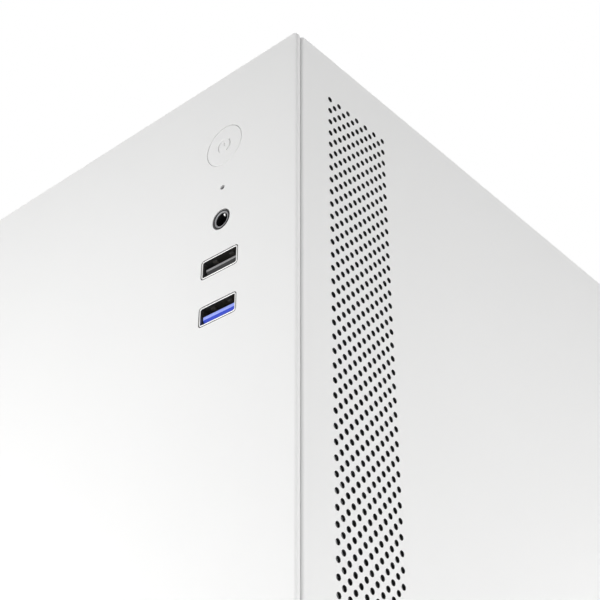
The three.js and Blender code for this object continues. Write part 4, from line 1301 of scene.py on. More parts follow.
# ---------------------------------------------------------------- front
@dataclass(frozen=True)
class FrontPanel:
    """The smooth front skin with its sockets' holes and the rim behind it."""

    site: Site
    corner: float = 1.8
    skin: float = 1.5
    edge: float = 0.75
    lip: float = 0.06
    button_gap: float = 0.11
    rim_inset: float = 10.5
    rim_wall: float = 1.6

    def build(self) -> None:
        """Makes the skin with its rim."""
        low, high = self.site.box("front_panel")
        cap_low, cap_high = self.site.box("power_button_cap")
        x = (cap_low.x + cap_high.x) / 2
        button = Disc(x, (cap_low.z + cap_high.z) / 2, 6.6 + self.button_gap, 64)
        led = Disc(x, self._height("power_led"), 0.75, 24)
        jack = Disc(x, self._height("audio_jack"), 3.25, 48)
        ports = [self._port(name) for name in ("usb2_shell", "usb3_shell")]
        form = Form(WHITE_FRONT).plate(
            Slab((low.x, high.x), (low.z, high.z), self.corner, 8),
            Axis.Y,
            (0.0, self.skin),
            [button, led, jack, *ports],
            (self.edge, 0.3),
            self.lip,
            5,
        )
        inset, depth = self.rim_inset, high.y
        outer = Slab((low.x + inset, high.x - inset), (low.z + inset + 0.8, high.z - inset - 0.8), 2.4)
        inner = Slab(
            (outer.u[0] + self.rim_wall, outer.u[1] - self.rim_wall),
            (outer.v[0] + self.rim_wall, outer.v[1] - self.rim_wall),
            0.8,
        )
        form.place("front_panel_skin", "front_panel", "white_front", self.site, ["front_panel"])
        rim = Form(WHITE_FRONT).plate(outer, Axis.Y, (self.skin, depth), [inner], (0.0, 0.3))
        rim.place("front_panel_rim", "front_panel", "white_front", self.site)
        self._studs(outer, depth)
        self._seam_shade(low, high)

    def _height(self, node: str) -> float:
        """The middle height of a node."""
        low, high = self.site.box(node)
        return (low.z + high.z) / 2

    def _port(self, node: str) -> Slab:
        """The hole round a socket's shell."""
        low, high = self.site.box(node)
        gap = 0.25
        return Slab((low.x - gap, high.x + gap), (low.z - gap, high.z + gap), 1.0, 5)

    def _seam_shade(self, low: Vector, high: Vector) -> None:
        """A dark rubber band between the skin and the sheets behind it: painted shade that makes the seam round the
        skin look dark.
        """
        recess, band = 0.6, 9.0
        outer = Slab((low.x + recess, high.x - recess), (low.z + recess, high.z - recess), 1.4, 4)
        inner = Slab((low.x + band, high.x - band), (low.z + band, high.z - band), 1.4, 4)
        # painted shade: a dark band just behind the skin's edge so the seam reads dark
        form = Form(RUBBER).plate(outer, Axis.Y, (self.skin, self.skin + 0.48), [inner])
        form.place("front_seal", "front_panel", "rubber", self.site)

    def _studs(self, rim: Slab, depth: float) -> None:
        """The pads inside the rim that the clips hold."""
        form = Form(WHITE_PLASTIC)
        for x in (rim.u[0] + 5, rim.u[1] - 5):
            for z in (rim.v[0] + 12, (rim.v[0] + rim.v[1]) / 2, rim.v[1] - 12):
                profile = [(0, self.skin), (3.2, self.skin), (3.2, self.skin + 1), (2, self.skin + 1.4)]
                profile += [
                    (2, depth - 4), (2.5, depth - 3), (2.5, depth - 2), (1.4, depth - 0.6), (0, depth - 0.6)
                ]
                form.turned(profile, Axis.Y, (x, z), 16)
        form.place("front_panel_studs", "front_panel", "white_front", self.site)


@dataclass(frozen=True)
class FrontSockets:
    """The power button, status light, headphone socket, both USB sockets and their board."""

    site: Site
    button_radius: float = 6.6
    skin: float = 1.5
    mark_radius: float = 2.25
    mark_width: float = 0.45
    mark_depth: float = 0.34
    shell_wall: float = 0.4
    board_face: float = 16.0

    def build(self) -> None:
        """Makes every piece, from the top down."""
        low, high = self.site.box("power_button_cap")
        x, z = (low.x + high.x) / 2, (low.z + high.z) / 2
        self._button(x, z, high.y)
        self._spring(x, z)
        self._switch(x, z)
        self._light(x)
        self._jack(x)
        # each insert's front face takes a lighter finish than its body: a painted highlight where light catches that
        # face
        for number, body, nose in ((2, SOCKET_PLASTIC, GREY_FACE_PAINTED_HIGHLIGHT), (3, DEEP_BLUE, BLUE_FACE_PAINTED_HIGHLIGHT)):
            self._shell(number)
            self._tongue(number, body, nose)
        self._board(x)

    def _button(self, x: float, z: float, stem_end: float) -> None:
        """The cap with its engraved mark, flange and stem."""
        radius, behind = self.button_radius, self.skin + 0.3
        form = Form(WHITE_CAP)
        profile = [(radius - 0.22, 0.0), (radius - 0.07, 0.05), (radius, 0.15), (radius, behind)]
        profile += [
            (radius + 1.4, behind), (radius + 1.4, behind + 1), (1.5, behind + 1), (1.5, stem_end - 0.3)
        ]
        profile += [(1.2, stem_end)]
        rings = [form.ring((u, w, v) for u, v in Disc(x, z, r, 96).points()) for r, w in profile]
        for first, second in zip(rings, rings[1:]):
            form.wall(first, second)
        form.face(rings[-1])
        half = self.mark_width / 2
        mark = [
            Arc(x, z, self.mark_radius, self.mark_width, (95, 225)),
            Arc(x, z, self.mark_radius, self.mark_width, (-65, 40)),
            Slab((x - half, x + half), (z - 0.2, z + 1.1), 0.1, 3),
        ]
        mouths = []
        for stroke in mark:
            mouth, floor = form.skin(stroke, Axis.Y, [(0.03, 0.0), (0.0, 0.03), (-0.05, self.mark_depth)])
            mouths.append(mouth)
            form.fill([floor])
        form.fill([rings[0], *mouths])
        form.place("power_button", "power_button", "white_button", self.site, ["power_button_cap"])

    def _spring(self, x: float, z: float) -> None:
        """The return spring between the flange and the board, with closed ends."""
        low, high = self.site.box("power_button_spring")
        wire = 0.3
        start, end = low.y + wire, high.y - wire
        radius = (high.x - low.x) / 2 - 0.35
        turns, steps = 5, 24
        path = []
        for i in range(turns * steps + 1):
            share = i / (turns * steps)
            lift = min(max((share - 0.1) / 0.8, 0.0), 1.0)
            angle = 2 * math.pi * turns * share
            y = start + (end - start) * (0.06 * share + 0.94 * lift)
            path.append(Vector((x + radius * math.cos(angle), y, z + radius * math.sin(angle))))
        form = Form(PLATED).tube(path, wire, 8)
        spring = form.place(
            "button_spring", "case", "bright_steel", self.site, ["power_button_spring"]
        )
        anchor = self.site.spot((x, high.y, z))
        travel = 1.2
        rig.squash(
            spring, "power_button_press", axis=(0, 1, 0), anchor=anchor, keep=1 - travel / (high.y - low.y)
        )

    def _switch(self, x: float, z: float) -> None:
        """The tactile switch: a black body under a tin cover, with its plunger."""
        low, high = self.site.box("power_switch_body")
        body = Form(BLACK_PLASTIC).plate(
            Slab(
                (low.x, high.x), (low.z, high.z), 0.3, 3
            ), Axis.Y, (low.y + 0.3, high.y), [Disc(x, z, 2.0, 24)]
        )
        body.use(PLATED).plate(
            Slab((low.x + 0.1, high.x - 0.1), (low.z + 0.1, high.z - 0.1), 0.3, 3),
            Axis.Y,
            (low.y, low.y + 0.3),
            [Disc(x, z, 1.95, 24)],
        )
        for dx in (-2.2, 2.2):
            for dz in (-2.2, 2.2):
                body.rod(Axis.Y, (x + dx, z + dz), (low.y - 0.1, low.y + 0.05), 0.35, 0.05, 12)
        body.place(
            "power_switch", "case", "black_plastic", self.site, ["power_switch_body"]
        )
        low, high = self.site.box("power_switch_plunger")
        plunger = Form(GREY_PLASTIC).rod(Axis.Y, (x, z), (low.y, high.y), 1.7, 0.2, 24)
        plunger.place(
            "power_switch_pin", "power_button", "grey_plastic", self.site, ["power_switch_plunger"]
        )

    def _light(self, x: float) -> None:
        """The status light: a smoked pipe with a domed tip on its diode."""
        low, high = self.site.box("power_led")
        z = (low.z + high.z) / 2
        profile = [(0, 0.3), (0.3, 0.34), (0.5, 0.45), (0.6, 0.65), (0.6, 1.8), (1.3, 1.8), (1.5, 2.0)]
        profile += [
            (1.5, high.y - 2.5), (1.35, high.y - 2.3), (1.35, high.y - 1), (1.5, high.y - 1), (1.5, high.y)
        ]
        form = Form(SMOKED).turned([*profile, (0, high.y)], Axis.Y, (x, z), 24)
        form.place("status_light", "case", "smoked_plastic", self.site, ["power_led"])

    def _jack(self, x: float) -> None:
        """The headphone socket: collar, bore with its contacts, and the body behind."""
        low, high = self.site.box("audio_jack")
        z = (low.z + high.z) / 2
        deep = high.y - 2
        form = Form(SOCKET_PLASTIC)
        collar = [(3.0, 4.0), (3.0, 0.2), (2.94, 0.06), (2.8, 0.0), (2.7, 0.0), (2.66, 0.04), (2.66, 0.3)]
        ring = [(2.66, 0.3), (2.6, 0.18), (2.5, 0.12), (2.32, 0.12), (2.2, 0.2), (2.1, 0.34)]
        bore = [(2.1, 0.34), (2.04, 0.5), (2.04, deep), (0.01, deep)]
        last = None
        for finish, profile in ((SOCKET_PLASTIC, collar), (GUNMETAL, ring), (SOCKET_PLASTIC, bore)):
            form.use(finish)
            rings = [
                form.ring((u, w, v) for u, v in Disc(x, z, r, 56).points()) for r, w in profile[bool(last):]
            ]
            for first, second in zip(([last] if last else []) + rings, rings[0 if last else 1:]):
                form.wall(first, second)
            last = rings[-1]
        form.use(SOCKET_PLASTIC)
        form.plate(
            Slab(
                (low.x, high.x), (low.z, high.z), 0.4, 3
            ), Axis.Y, (2.5, high.y), [Disc(x, z, 3.0, 56)], (0.2, 0.2)
        )
        form.use(PLATED)
        for angle, near, far in ((80, 0.75, 2.1), (205, 3.0, 5.2), (290, 4.2, 6.4)):
            self._contact(form, x, z, math.radians(angle), near, far)
        form.place(
            "headphone_socket", "case", "black_plastic", self.site, ["audio_jack"]
        )

    @staticmethod
    def _contact(form: Form, x: float, z: float, angle: float, near: float, far: float) -> None:
        """One spring leaf that bulges into the bore."""
        side = Vector((math.cos(angle), 0, math.sin(angle)))
        across = Vector((-side.z, 0, side.x))
        rows = []
        for i in range(9):
            share = i / 8
            reach = 2.02 - 0.55 * math.sin(math.pi * share)
            middle = Vector((x, near + (far - near) * share, z)) + side * reach
            section = ((-0.32, 0), (-0.2, -0.1), (0.2, -0.1), (0.32, 0), (0.32, 0.14), (-0.32, 0.14))
            rows.append([tuple(middle + across * w + side * t) for w, t in section])
        form.strip(rows, closed=True)

    def _shell(self, number: int) -> None:
        """A USB socket's drawn shell with its four spring leaves."""
        low, high = self.site.box(f"usb{number}_shell")
        wall = self.shell_wall
        outer = Slab((low.x, high.x), (low.z, high.z), 0.85, 6)
        inner = Slab((low.x + wall, high.x - wall), (low.z + wall, high.z - wall), 0.45, 6)
        form = Form(PLATED)
        mouth = form.skin(outer, Axis.Y, [(0.0, high.y), (0.0, 0.12), (-0.035, 0.035), (-0.12, 0.0)])
        rim = form.skin(inner, Axis.Y, [(0.1, 0.0), (0.03, 0.04), (0.0, 0.15)])
        form.wall(mouth[1], rim[0])
        form.fill([mouth[0]])
        # painted shade: the bore and the spring leaves take the dark plate for the shade inside the shell
        form.use(DARK_PLATE_PAINTED_SHADE)
        bore = form.skin(inner, Axis.Y, [(0.0, 0.15), (0.0, high.y - 1.0)])
        form.fill([bore[1]])
        bmesh.ops.remove_doubles(form.bm, verts=[*rim[1], *bore[0]], dist=1e-5)
        middle = (low.x + high.x) / 2
        for dx in (-3.0, 3.0):
            self._leaf(form, middle + dx, high.z - wall, -1, 2.2, 0.5)
            self._leaf(form, middle + dx, low.z + wall, 1, 2.2, 0.25)
        form.place(
            f"usb{number}_shell_drawn",
            "case",
            "bright_steel",
            self.site,
            [f"usb{number}_shell"],
            crease=50,
        )
        liner = Form(RUBBER).plate(
            Slab((low.x - 0.3, high.x + 0.3), (low.z - 0.3, high.z + 0.3), 1.1, 6),
            Axis.Y,
            (0.12, 2.6),
            [Slab((low.x + 0.02, high.x - 0.02), (low.z + 0.02, high.z - 0.02), 0.83, 6)],
        )
        liner.place(f"usb{number}_gasket", "case", "black_plastic", self.site)

    @staticmethod
    def _leaf(form: Form, x: float, z: float, way: int, width: float, reach: float = 0.75) -> None:
        """A spring leaf that bows in from the shell's wall."""
        rows = []
        for i in range(13):
            share = i / 12
            y = 1.2 + 7.5 * share
            dip = reach * math.sin(math.pi * share**0.7)
            half = width / 2 * (0.65 + 0.35 * share)
            near, far = z + way * dip, z + way * (dip - 0.2)
            rows.append([(x - half, y, near), (x + half, y, near), (x + half, y, far), (x - half, y, far)])
        form.strip(rows, closed=True)

    def _tongue(self, number: int, body: Finish, face_highlight_finish: Finish) -> None:
        """The insert: its tongue low in the opening with a chamfer under its front edge, and its contacts."""
        low, high = self.site.box(f"usb{number}_tongue")
        shell_low = self.site.box(f"usb{number}_shell")[0]
        x = (low.x + high.x) / 2
        floor = shell_low.z + self.shell_wall
        half, rise = (5.85, 0.95) if number == 3 else (5.55, 0.7)
        front, top = low.y, floor + 2.75
        under = floor + (0.35 if number == 3 else 0.7)
        nose, throat = top - rise, high.y - 3.9
        section = [(front, top), (front, nose), (front + 0.9, under), (throat, under), (throat, floor + 0.3)]
        section += [(high.y, floor + 0.3), (high.y, floor + 4.6), (throat, floor + 4.6), (throat, top)]
        form = Form(body)
        rows = [form.ring((x + side * half, y, z) for y, z in section) for side in (-1, 1)]
        form.fill([rows[0]])
        form.fill([rows[1]])
        for i in range(len(section)):
            j = (i + 1) % len(section)
            # the front face takes the painted-highlight finish, lighter than the body where light catches it
            form.use({0: face_highlight_finish, 1: body if number == 3 else RUBBER}.get(i, SOCKET_PLASTIC))
            form.face([rows[0][i], rows[0][j], rows[1][j], rows[1][i]])
        form.use(GOLD)
        count, pitch = 4, 2.4
        for i in range(count):
            at = x + (i - (count - 1) / 2) * pitch
            form.box((at - 0.5, at + 0.5), (front + 0.5, high.y - 4.2), (top - 0.02, top + 0.12))
        if number == 3:
            for i in range(5):
                at = x + (i - 2) * 2.0
                form.box((at - 0.3, at + 0.3), (high.y - 6, high.y - 4), (top + 0.1, top + 0.5))
        slot = "blue_plastic" if number == 3 else "grey_plastic"
        form.place(
            f"usb{number}_insert",
            "case",
            slot,
            self.site,
            [f"usb{number}_tongue"],
            bevel=0.06,
        )

    def _board(self, x: float) -> None:
        """The circuit board with its header, chips and solder joints."""
        low, high = self.site.box("front_io_board")
        face, back = self.board_face, self.board_face + 1.6
        holes = [Disc(x + dx, z, 1.4, 20) for dx in (-9.8, 9.8) for z in (low.z + 2.2, high.z - 2.2)]
        form = Form(GREEN_BOARD).plate(
            Slab((low.x, high.x), (low.z, high.z), 1.0, 4), Axis.Y, (face, back), holes
        )
        form.use(SOCKET_PLASTIC)
        form.box((x - 10, x + 10), (back, high.y), (low.z + 3, low.z + 12))
        for i in range(7):
            form.box((x - 9.6 + i * 3, x - 8.4 + i * 3), (back, high.y + 0.0), (low.z + 12.05, low.z + 12.6))
        form.use(PLATED)
        for dz in (16, 24, 31, 45, 52, 60, 66):
            for dx in (-6, -3.5, 3.5, 6):
                form.rod(Axis.Y, (x + dx, low.z + dz), (back - 0.01, back + 0.7), 0.55, 0.3, 10)
        form.use(BLACK_PLASTIC)
        for dz, dx, w, h in ((38, 0, 5, 5), (20, -8.5, 1.6, 3), (57, 8, 1.4, 2.8), (70, 0, 4, 3)):
            form.box(
                (x + dx - w / 2, x + dx + w / 2), (back, back + 1.1),
                (low.z + dz - h / 2, low.z + dz + h / 2)
            )
        form.place(
            "front_socket_board", "case", "circuit_board", self.site, ["front_io_board"], bevel=0.08,
        )


# ---------------------------------------------------------------- side panels
@dataclass(frozen=True)
class SidePanel:
    """A side panel: a shallow pan with a staggered strip of vent holes behind its front edge."""

    site: Site
    side: str
    sheet: float = 0.8
    bend: float = 0.95
    corner: float = 1.8
    flange: float = 7.0
    rear_flange: float = 18.0
    first_column: float = 14.2
    column_pitch: float = 2.0
    columns: int = 13
    top_drop: float = 16.5
    row_pitch: float = 4.1
    rows: int = 83
    hole: float = 0.85

    def build(self) -> None:
        """Makes the pan for the right, or its mirror image for the left."""
        low, high = self.site.box("right_side_panel")
        outline = Slab((low.y, high.y), (low.z, high.z), self.corner, 8)
        form = Form(WHITE_COAT)
        outer = self._pan(form, outline, high, 0.0, self.bend)
        inner = self._pan(form, outline, high, self.sheet, self.bend - self.sheet)
        form.wall(outer[-1], inner[-1])
        strips = [self._vents(form, face, high) for face in (high.x, high.x - self.sheet)]
        self._walls(form, *(strip[0] for strip in strips))
        form.use(WHITE_COAT)
        for rings, (_, edges) in zip((outer, inner), strips):
            form.fill([rings[0]], edges)
        lip = high.x - self.flange
        for z in (low.z + self.sheet, high.z - self.sheet):
            way = 1 if z < (low.z + high.z) / 2 else -1
            spans = sorted((z - way * 0.1, z + way * 2.5))
            form.box((lip, lip + self.sheet), (low.y + 6, high.y - 6), spans)
        if self.side == "left":
            form.move(Matrix.Scale(-1, 4, (1, 0, 0)))
        node = f"{self.side}_side_panel"
        form.place(f"{node}_pan", node, "white_steel", self.site, [node])

    def _pan(self, form: Form, outline: Slab, high: Vector, inset: float, radius: float) -> list[Ring]:
        """One skin of the pan's rim, from the face down to the flange's end.

        Args:
            form: The form it goes into.
            outline: The pan seen square on.
            high: The panel's highest corner.
            inset: How far inside the outer skin it is.
            radius: Its bend's radius.

        Returns:
            Its rings, the face's first.
        """
        steps = 6
        angles = [math.pi / 2 * i / steps for i in range(steps + 1)]
        profile = [
            (-inset - radius * (1 - math.sin(a)), high.x - inset - radius * (1 - math.cos(a))) for a in angles
        ]
        rings = [form.ring((x, y, z) for y, z in outline.points(grow)) for grow, x in profile]
        rear = high.y - self.sheet + 0.01
        ends = []
        for outer_point, point in zip(outline.points(), outline.points(-inset)):
            reach = self.rear_flange if outer_point[0] > rear else self.flange
            ends.append((high.x - reach, *point))
        rings.append(form.ring(ends))
        for first, second in zip(rings, rings[1:]):
            form.wall(first, second)
        return rings

    def _vents(self, form: Form, x: float, high: Vector) -> tuple[list[Ring], list[bmesh.types.BMEdge]]:
        """One skin of the perforated strip.

        Args:
            form: The form it goes into.
            x: Where the skin is.
            high: The panel's highest corner.

        Returns:
            The holes' rings, and the edges round the whole strip.
        """
        corners: dict[tuple[int, int], bmesh.types.BMVert] = {}
        half_y, half_z = self.column_pitch / 2, self.row_pitch / 2
        first_z = high.z - self.top_drop

        def corner(column: int, step: int) -> bmesh.types.BMVert:
            """The cell corner on a column's left at a number of half rows down."""
            key = (column, step)
            if key not in corners:
                y = self.first_column + column * self.column_pitch - half_y
                corners[key] = form.bm.verts.new((x, y, first_z + half_z - step * half_z))
            return corners[key]

        holes = []
        for column in range(self.columns):
            for row in range(self.rows):
                step = 2 * row + column % 2
                right, left = column + 1, column
                rim = [
                    corner(right, step + 1), corner(right, step), corner(left, step), corner(left, step + 1)
                ]
                rim += [corner(left, step + 2), corner(right, step + 2)]
                centre = (self.first_column + column * self.column_pitch, first_z - step * half_z)
                ring = form.ring((x, y, z) for y, z in Disc(*centre, self.hole, 12).points())
                for i in range(6):
                    second = rim[(i + 1) % 6]
                    form.face([rim[i], second, ring[(2 * i + 2) % 12], ring[2 * i + 1], ring[2 * i]])
                holes.append(ring)
        border = {edge for vert in corners.values() for edge in vert.link_edges if len(edge.link_faces) == 1}
        return holes, list(border)

    @staticmethod
    def _walls(form: Form, outer: list[Ring], inner: list[Ring]) -> None:
        """The punched walls between the two skins, in the near-black finish that paints the shade inside the holes."""
        # painted shade: the walls take the near-black finish for the shade inside the holes
        form.use(HOLE_WALL_PAINTED_SHADE)
        for first, second in zip(outer, inner):
            form.wall(first, second)


# ---------------------------------------------------------------- fans
@dataclass(frozen=True)
class Fan:
    """A fan: a flanged frame with curved arms behind a rotor of swept blades.

    It is built about +Z, then turned into place.
    """

    site: Site
    name: str
    axis: Axis
    blades: int = 9
    depth: float = 25.0
    flange: float = 3.6
    hub: float = 17.5
    wall: float = 2.0
    tip_gap: float = 1.4
    blade_thick: float = 1.5
    screw_hole: float = 2.2
    post_wall: float = 1.3
    wide: float = 50.0
    wide_inset: float = 7.5
    narrow_inset: float = 4.8
    corner: float = 4.5
    plate_thick: float = 3.0
    axle: float = 1.85
    blade_middle: float = 13.4
    blade_room: float = 17.6

    def build(self) -> None:
        """Makes the frame and the rotor."""
        low, high = self.site.box(f"{self.name}_frame")
        middle = (low + high) / 2
        turns = {
            Axis.X: ((high.x, middle.y, middle.z), -90, "Y"),
            Axis.Y: ((middle.x, high.y, middle.z), 90, "X"),
            Axis.Z: ((middle.x, middle.y, high.z), 180, "X"),
        }
        at, angle, about = turns[self.axis]
        matrix = Matrix.Translation(at) @ Matrix.Rotation(math.radians(angle), 4, about)
        edge = max(high - low) / 2
        self._frame(edge, matrix)
        self._rotor(edge - self.wall - self.tip_gap, matrix)

    def _frame(self, edge: float, matrix: Matrix) -> None:
        """Two flanges joined by the duct, four corner posts, the arms and the motor's plate."""
        bore = edge - self.wall
        inset = self.wide_inset if edge > self.wide else self.narrow_inset
        corners = [(x, y) for x in (-1, 1) for y in (-1, 1)]
        holes = [Disc(x * (edge - inset), y * (edge - inset), self.screw_hole, 20) for x, y in corners]
        form = Form(BLACK_PLASTIC)
        for span in ((0.0, self.flange), (self.depth - self.flange, self.depth)):
            form.plate(
                Slab((-edge, edge), (-edge, edge), self.corner, 6),
                Axis.Z,
                span,
                [Disc(0, 0, bore, 96), *holes],
                (0.4, 0.4),
            )
        duct = (self.flange - 0.1, self.depth - self.flange + 0.1)
        form.plate(Disc(0, 0, edge - 0.3, 96), Axis.Z, duct, [Disc(0, 0, bore, 96)])
        for x, y in corners:
            at = (x * (edge - inset), y * (edge - inset))
            form.plate(
                Disc(*at, self.screw_hole + self.post_wall, 20), Axis.Z, duct,
                [Disc(*at, self.screw_hole, 20)]
            )
        rim, inner = self.hub + 1, self.plate_thick
        form.turned([(0, 0.2), (self.hub, 0.2), (rim, 1.0), (rim, inner), (0, inner)], Axis.Z, (0, 0), 48)
        for i in range(4):
            self._arm(form, math.pi / 4 + i * math.pi / 2, bore + 0.6)
        form.use(LABEL).rod(Axis.Z, (0, 0), (0.0, 0.3), self.hub - 2.5, 0.05, 48)
        form.move(matrix)
        form.place(
            f"{self.name}_housing", "case", "black_plastic", self.site, [f"{self.name}_frame"]
        )

    def _arm(self, form: Form, start: float, reach: float) -> None:
        """One arm from the motor's plate to the duct, swept against the blades."""
        rows = []
        for i in range(10):
            share = i / 9
            radius = self.hub - 1 + (reach - self.hub + 1) * share
            angle = start + 0.22 * math.sin(share * math.pi / 2)
            half = (2.1 + 0.9 * share) / radius
            deep = self.plate_thick
            front = [(-half, 0.3), (-half * 0.8, 0.0), (half * 0.8, 0.0), (half, 0.3)]
            section = [*front, (half * 0.7, deep), (-half * 0.7, deep)]
            rows.append([(radius * math.cos(angle + a), radius * math.sin(angle + a), z) for a, z in section])
        form.strip(rows, closed=True)

    def _rotor(self, tip: float, matrix: Matrix) -> None:
        """The hub's cup, its axle and the blades."""
        form = Form(FAN_PLASTIC)
        top = self.depth - 2
        profile = [
            (0, 3.8), (self.hub - 0.3, 3.8), (self.hub, 4.1), (self.hub, top - 2.4),
            (self.hub - 0.3, top - 1.2)
        ]
        profile += [
            (self.hub - 1.1, top - 0.35), (self.hub - 2.4, top), (12.6, top), (12.3, top - 0.35),
            (0, top - 0.35)
        ]
        form.turned(profile, Axis.Z, (0, 0), 64)
        form.rod(Axis.Z, (0, 0), (0.6, 4.2), self.axle, 0.2, 16)
        for i in range(self.blades):
            self._blade(form, 2 * math.pi * i / self.blades, tip)
        form.use(LABEL).rod(Axis.Z, (0, 0), (top - 0.4, top - 0.2), 12.0, 0.02, 48)
        form.move(matrix)
        form.place(
            f"{self.name}_impeller",
            f"{self.name}_rotor",
            "black_plastic",
            self.site,
            [f"{self.name}_rotor"],
        )

    def _blade(self, form: Form, start: float, tip: float) -> None:
        """One cambered blade that sweeps and flattens towards its tip."""
        rows = []
        steps = 9
        for i in range(steps + 1):
            share = i / steps
            radius = self.hub - 0.8 + (tip - self.hub + 0.8) * share
            pitch = math.radians(52 - 22 * share)
            chord = min(
                0.76 * 2 * math.pi * radius / self.blades / math.cos(pitch),
                self.blade_room / math.sin(pitch)
            )
            middle = start + 0.5 * share**1.5
            row = []
            for s, t in blade_section():
                along, off = s * chord, t * self.blade_thick + 0.07 * chord * (1 - 4 * s * s)
                angle = middle + (along * math.cos(pitch) - off * math.sin(pitch)) / radius
                rise = along * math.sin(pitch) + off * math.cos(pitch)
                row.append((radius * math.cos(angle), radius * math.sin(angle), self.blade_middle + rise))
            rows.append(row)
        form.strip(rows, closed=True)


def blade_section() -> list[Point]:
    """A blade's section: (along the chord, across it), from -0.5 to 0.5 both ways."""
    steps = 7
    spots = [-0.5 * math.cos(math.pi * i / steps) for i in range(steps + 1)]
    upper = [(s, 0.5 * math.sqrt(max(1 - 4 * s * s, 0.0))) for s in spots]
    lower = [(s, -t) for s, t in reversed(upper[1:-1])]
    return upper + lower


@dataclass(frozen=True)
class WireGuard:
    """A fan's guard: rings of wire welded on crossed wires whose ends are eyes, with a screw in each."""

    site: Site
    name: str
    axis: Axis
    rings: tuple[float, ...]
    reach: float
    wire: float = 0.45
    eye: float = 3.0

    def build(self) -> None:
        """Makes the guard with its screws."""
        low, high = self.site.box(f"{self.name}_guard")
        middle = (low + high) / 2
        rear = self.axis is Axis.Y
        form = Form(NICKEL)
        for radius in self.rings:
            path = [Vector((*p, 0.0)) for p in Disc(0, 0, radius, 72).points()]
            form.tube(path, self.wire, 8, closed=True)
        for quarter in range(4):
            angle = math.pi / 4 + quarter * math.pi / 2
            way = Vector((math.cos(angle), math.sin(angle), 0))
            inner, outer = self.rings[0], self.reach - self.eye - 0.2
            form.tube([way * (inner + (outer - inner) * i / 6) for i in range(7)], self.wire, 8)
            eye = way * (outer + self.eye)
            path = [eye + Vector((*p, 0.0)) for p in Disc(0, 0, self.eye, 28).points()]
            form.tube(path, self.wire, 8, closed=True)
            form.use(SCREW_BLACK)
            head = ((0, 0.3), (3.2, 0.3), (3.4, 0.0), (3.0, -0.9), (1.9, -1.5), (0, -1.7))
            rise = 1 if rear else -0.4
            profile = [(radius, w * rise) for radius, w in head]
            form.turned(profile, Axis.Z, (eye.x, eye.y), 24)
            form.use(NICKEL)
        turn = Matrix.Rotation(math.radians(-90), 4, "X") if rear else Matrix.Identity(4)
        form.move(Matrix.Translation(middle) @ turn)
        form.place(
            f"{self.name}_wire_guard", "case", "bright_steel", self.site, [f"{self.name}_guard"]
        )


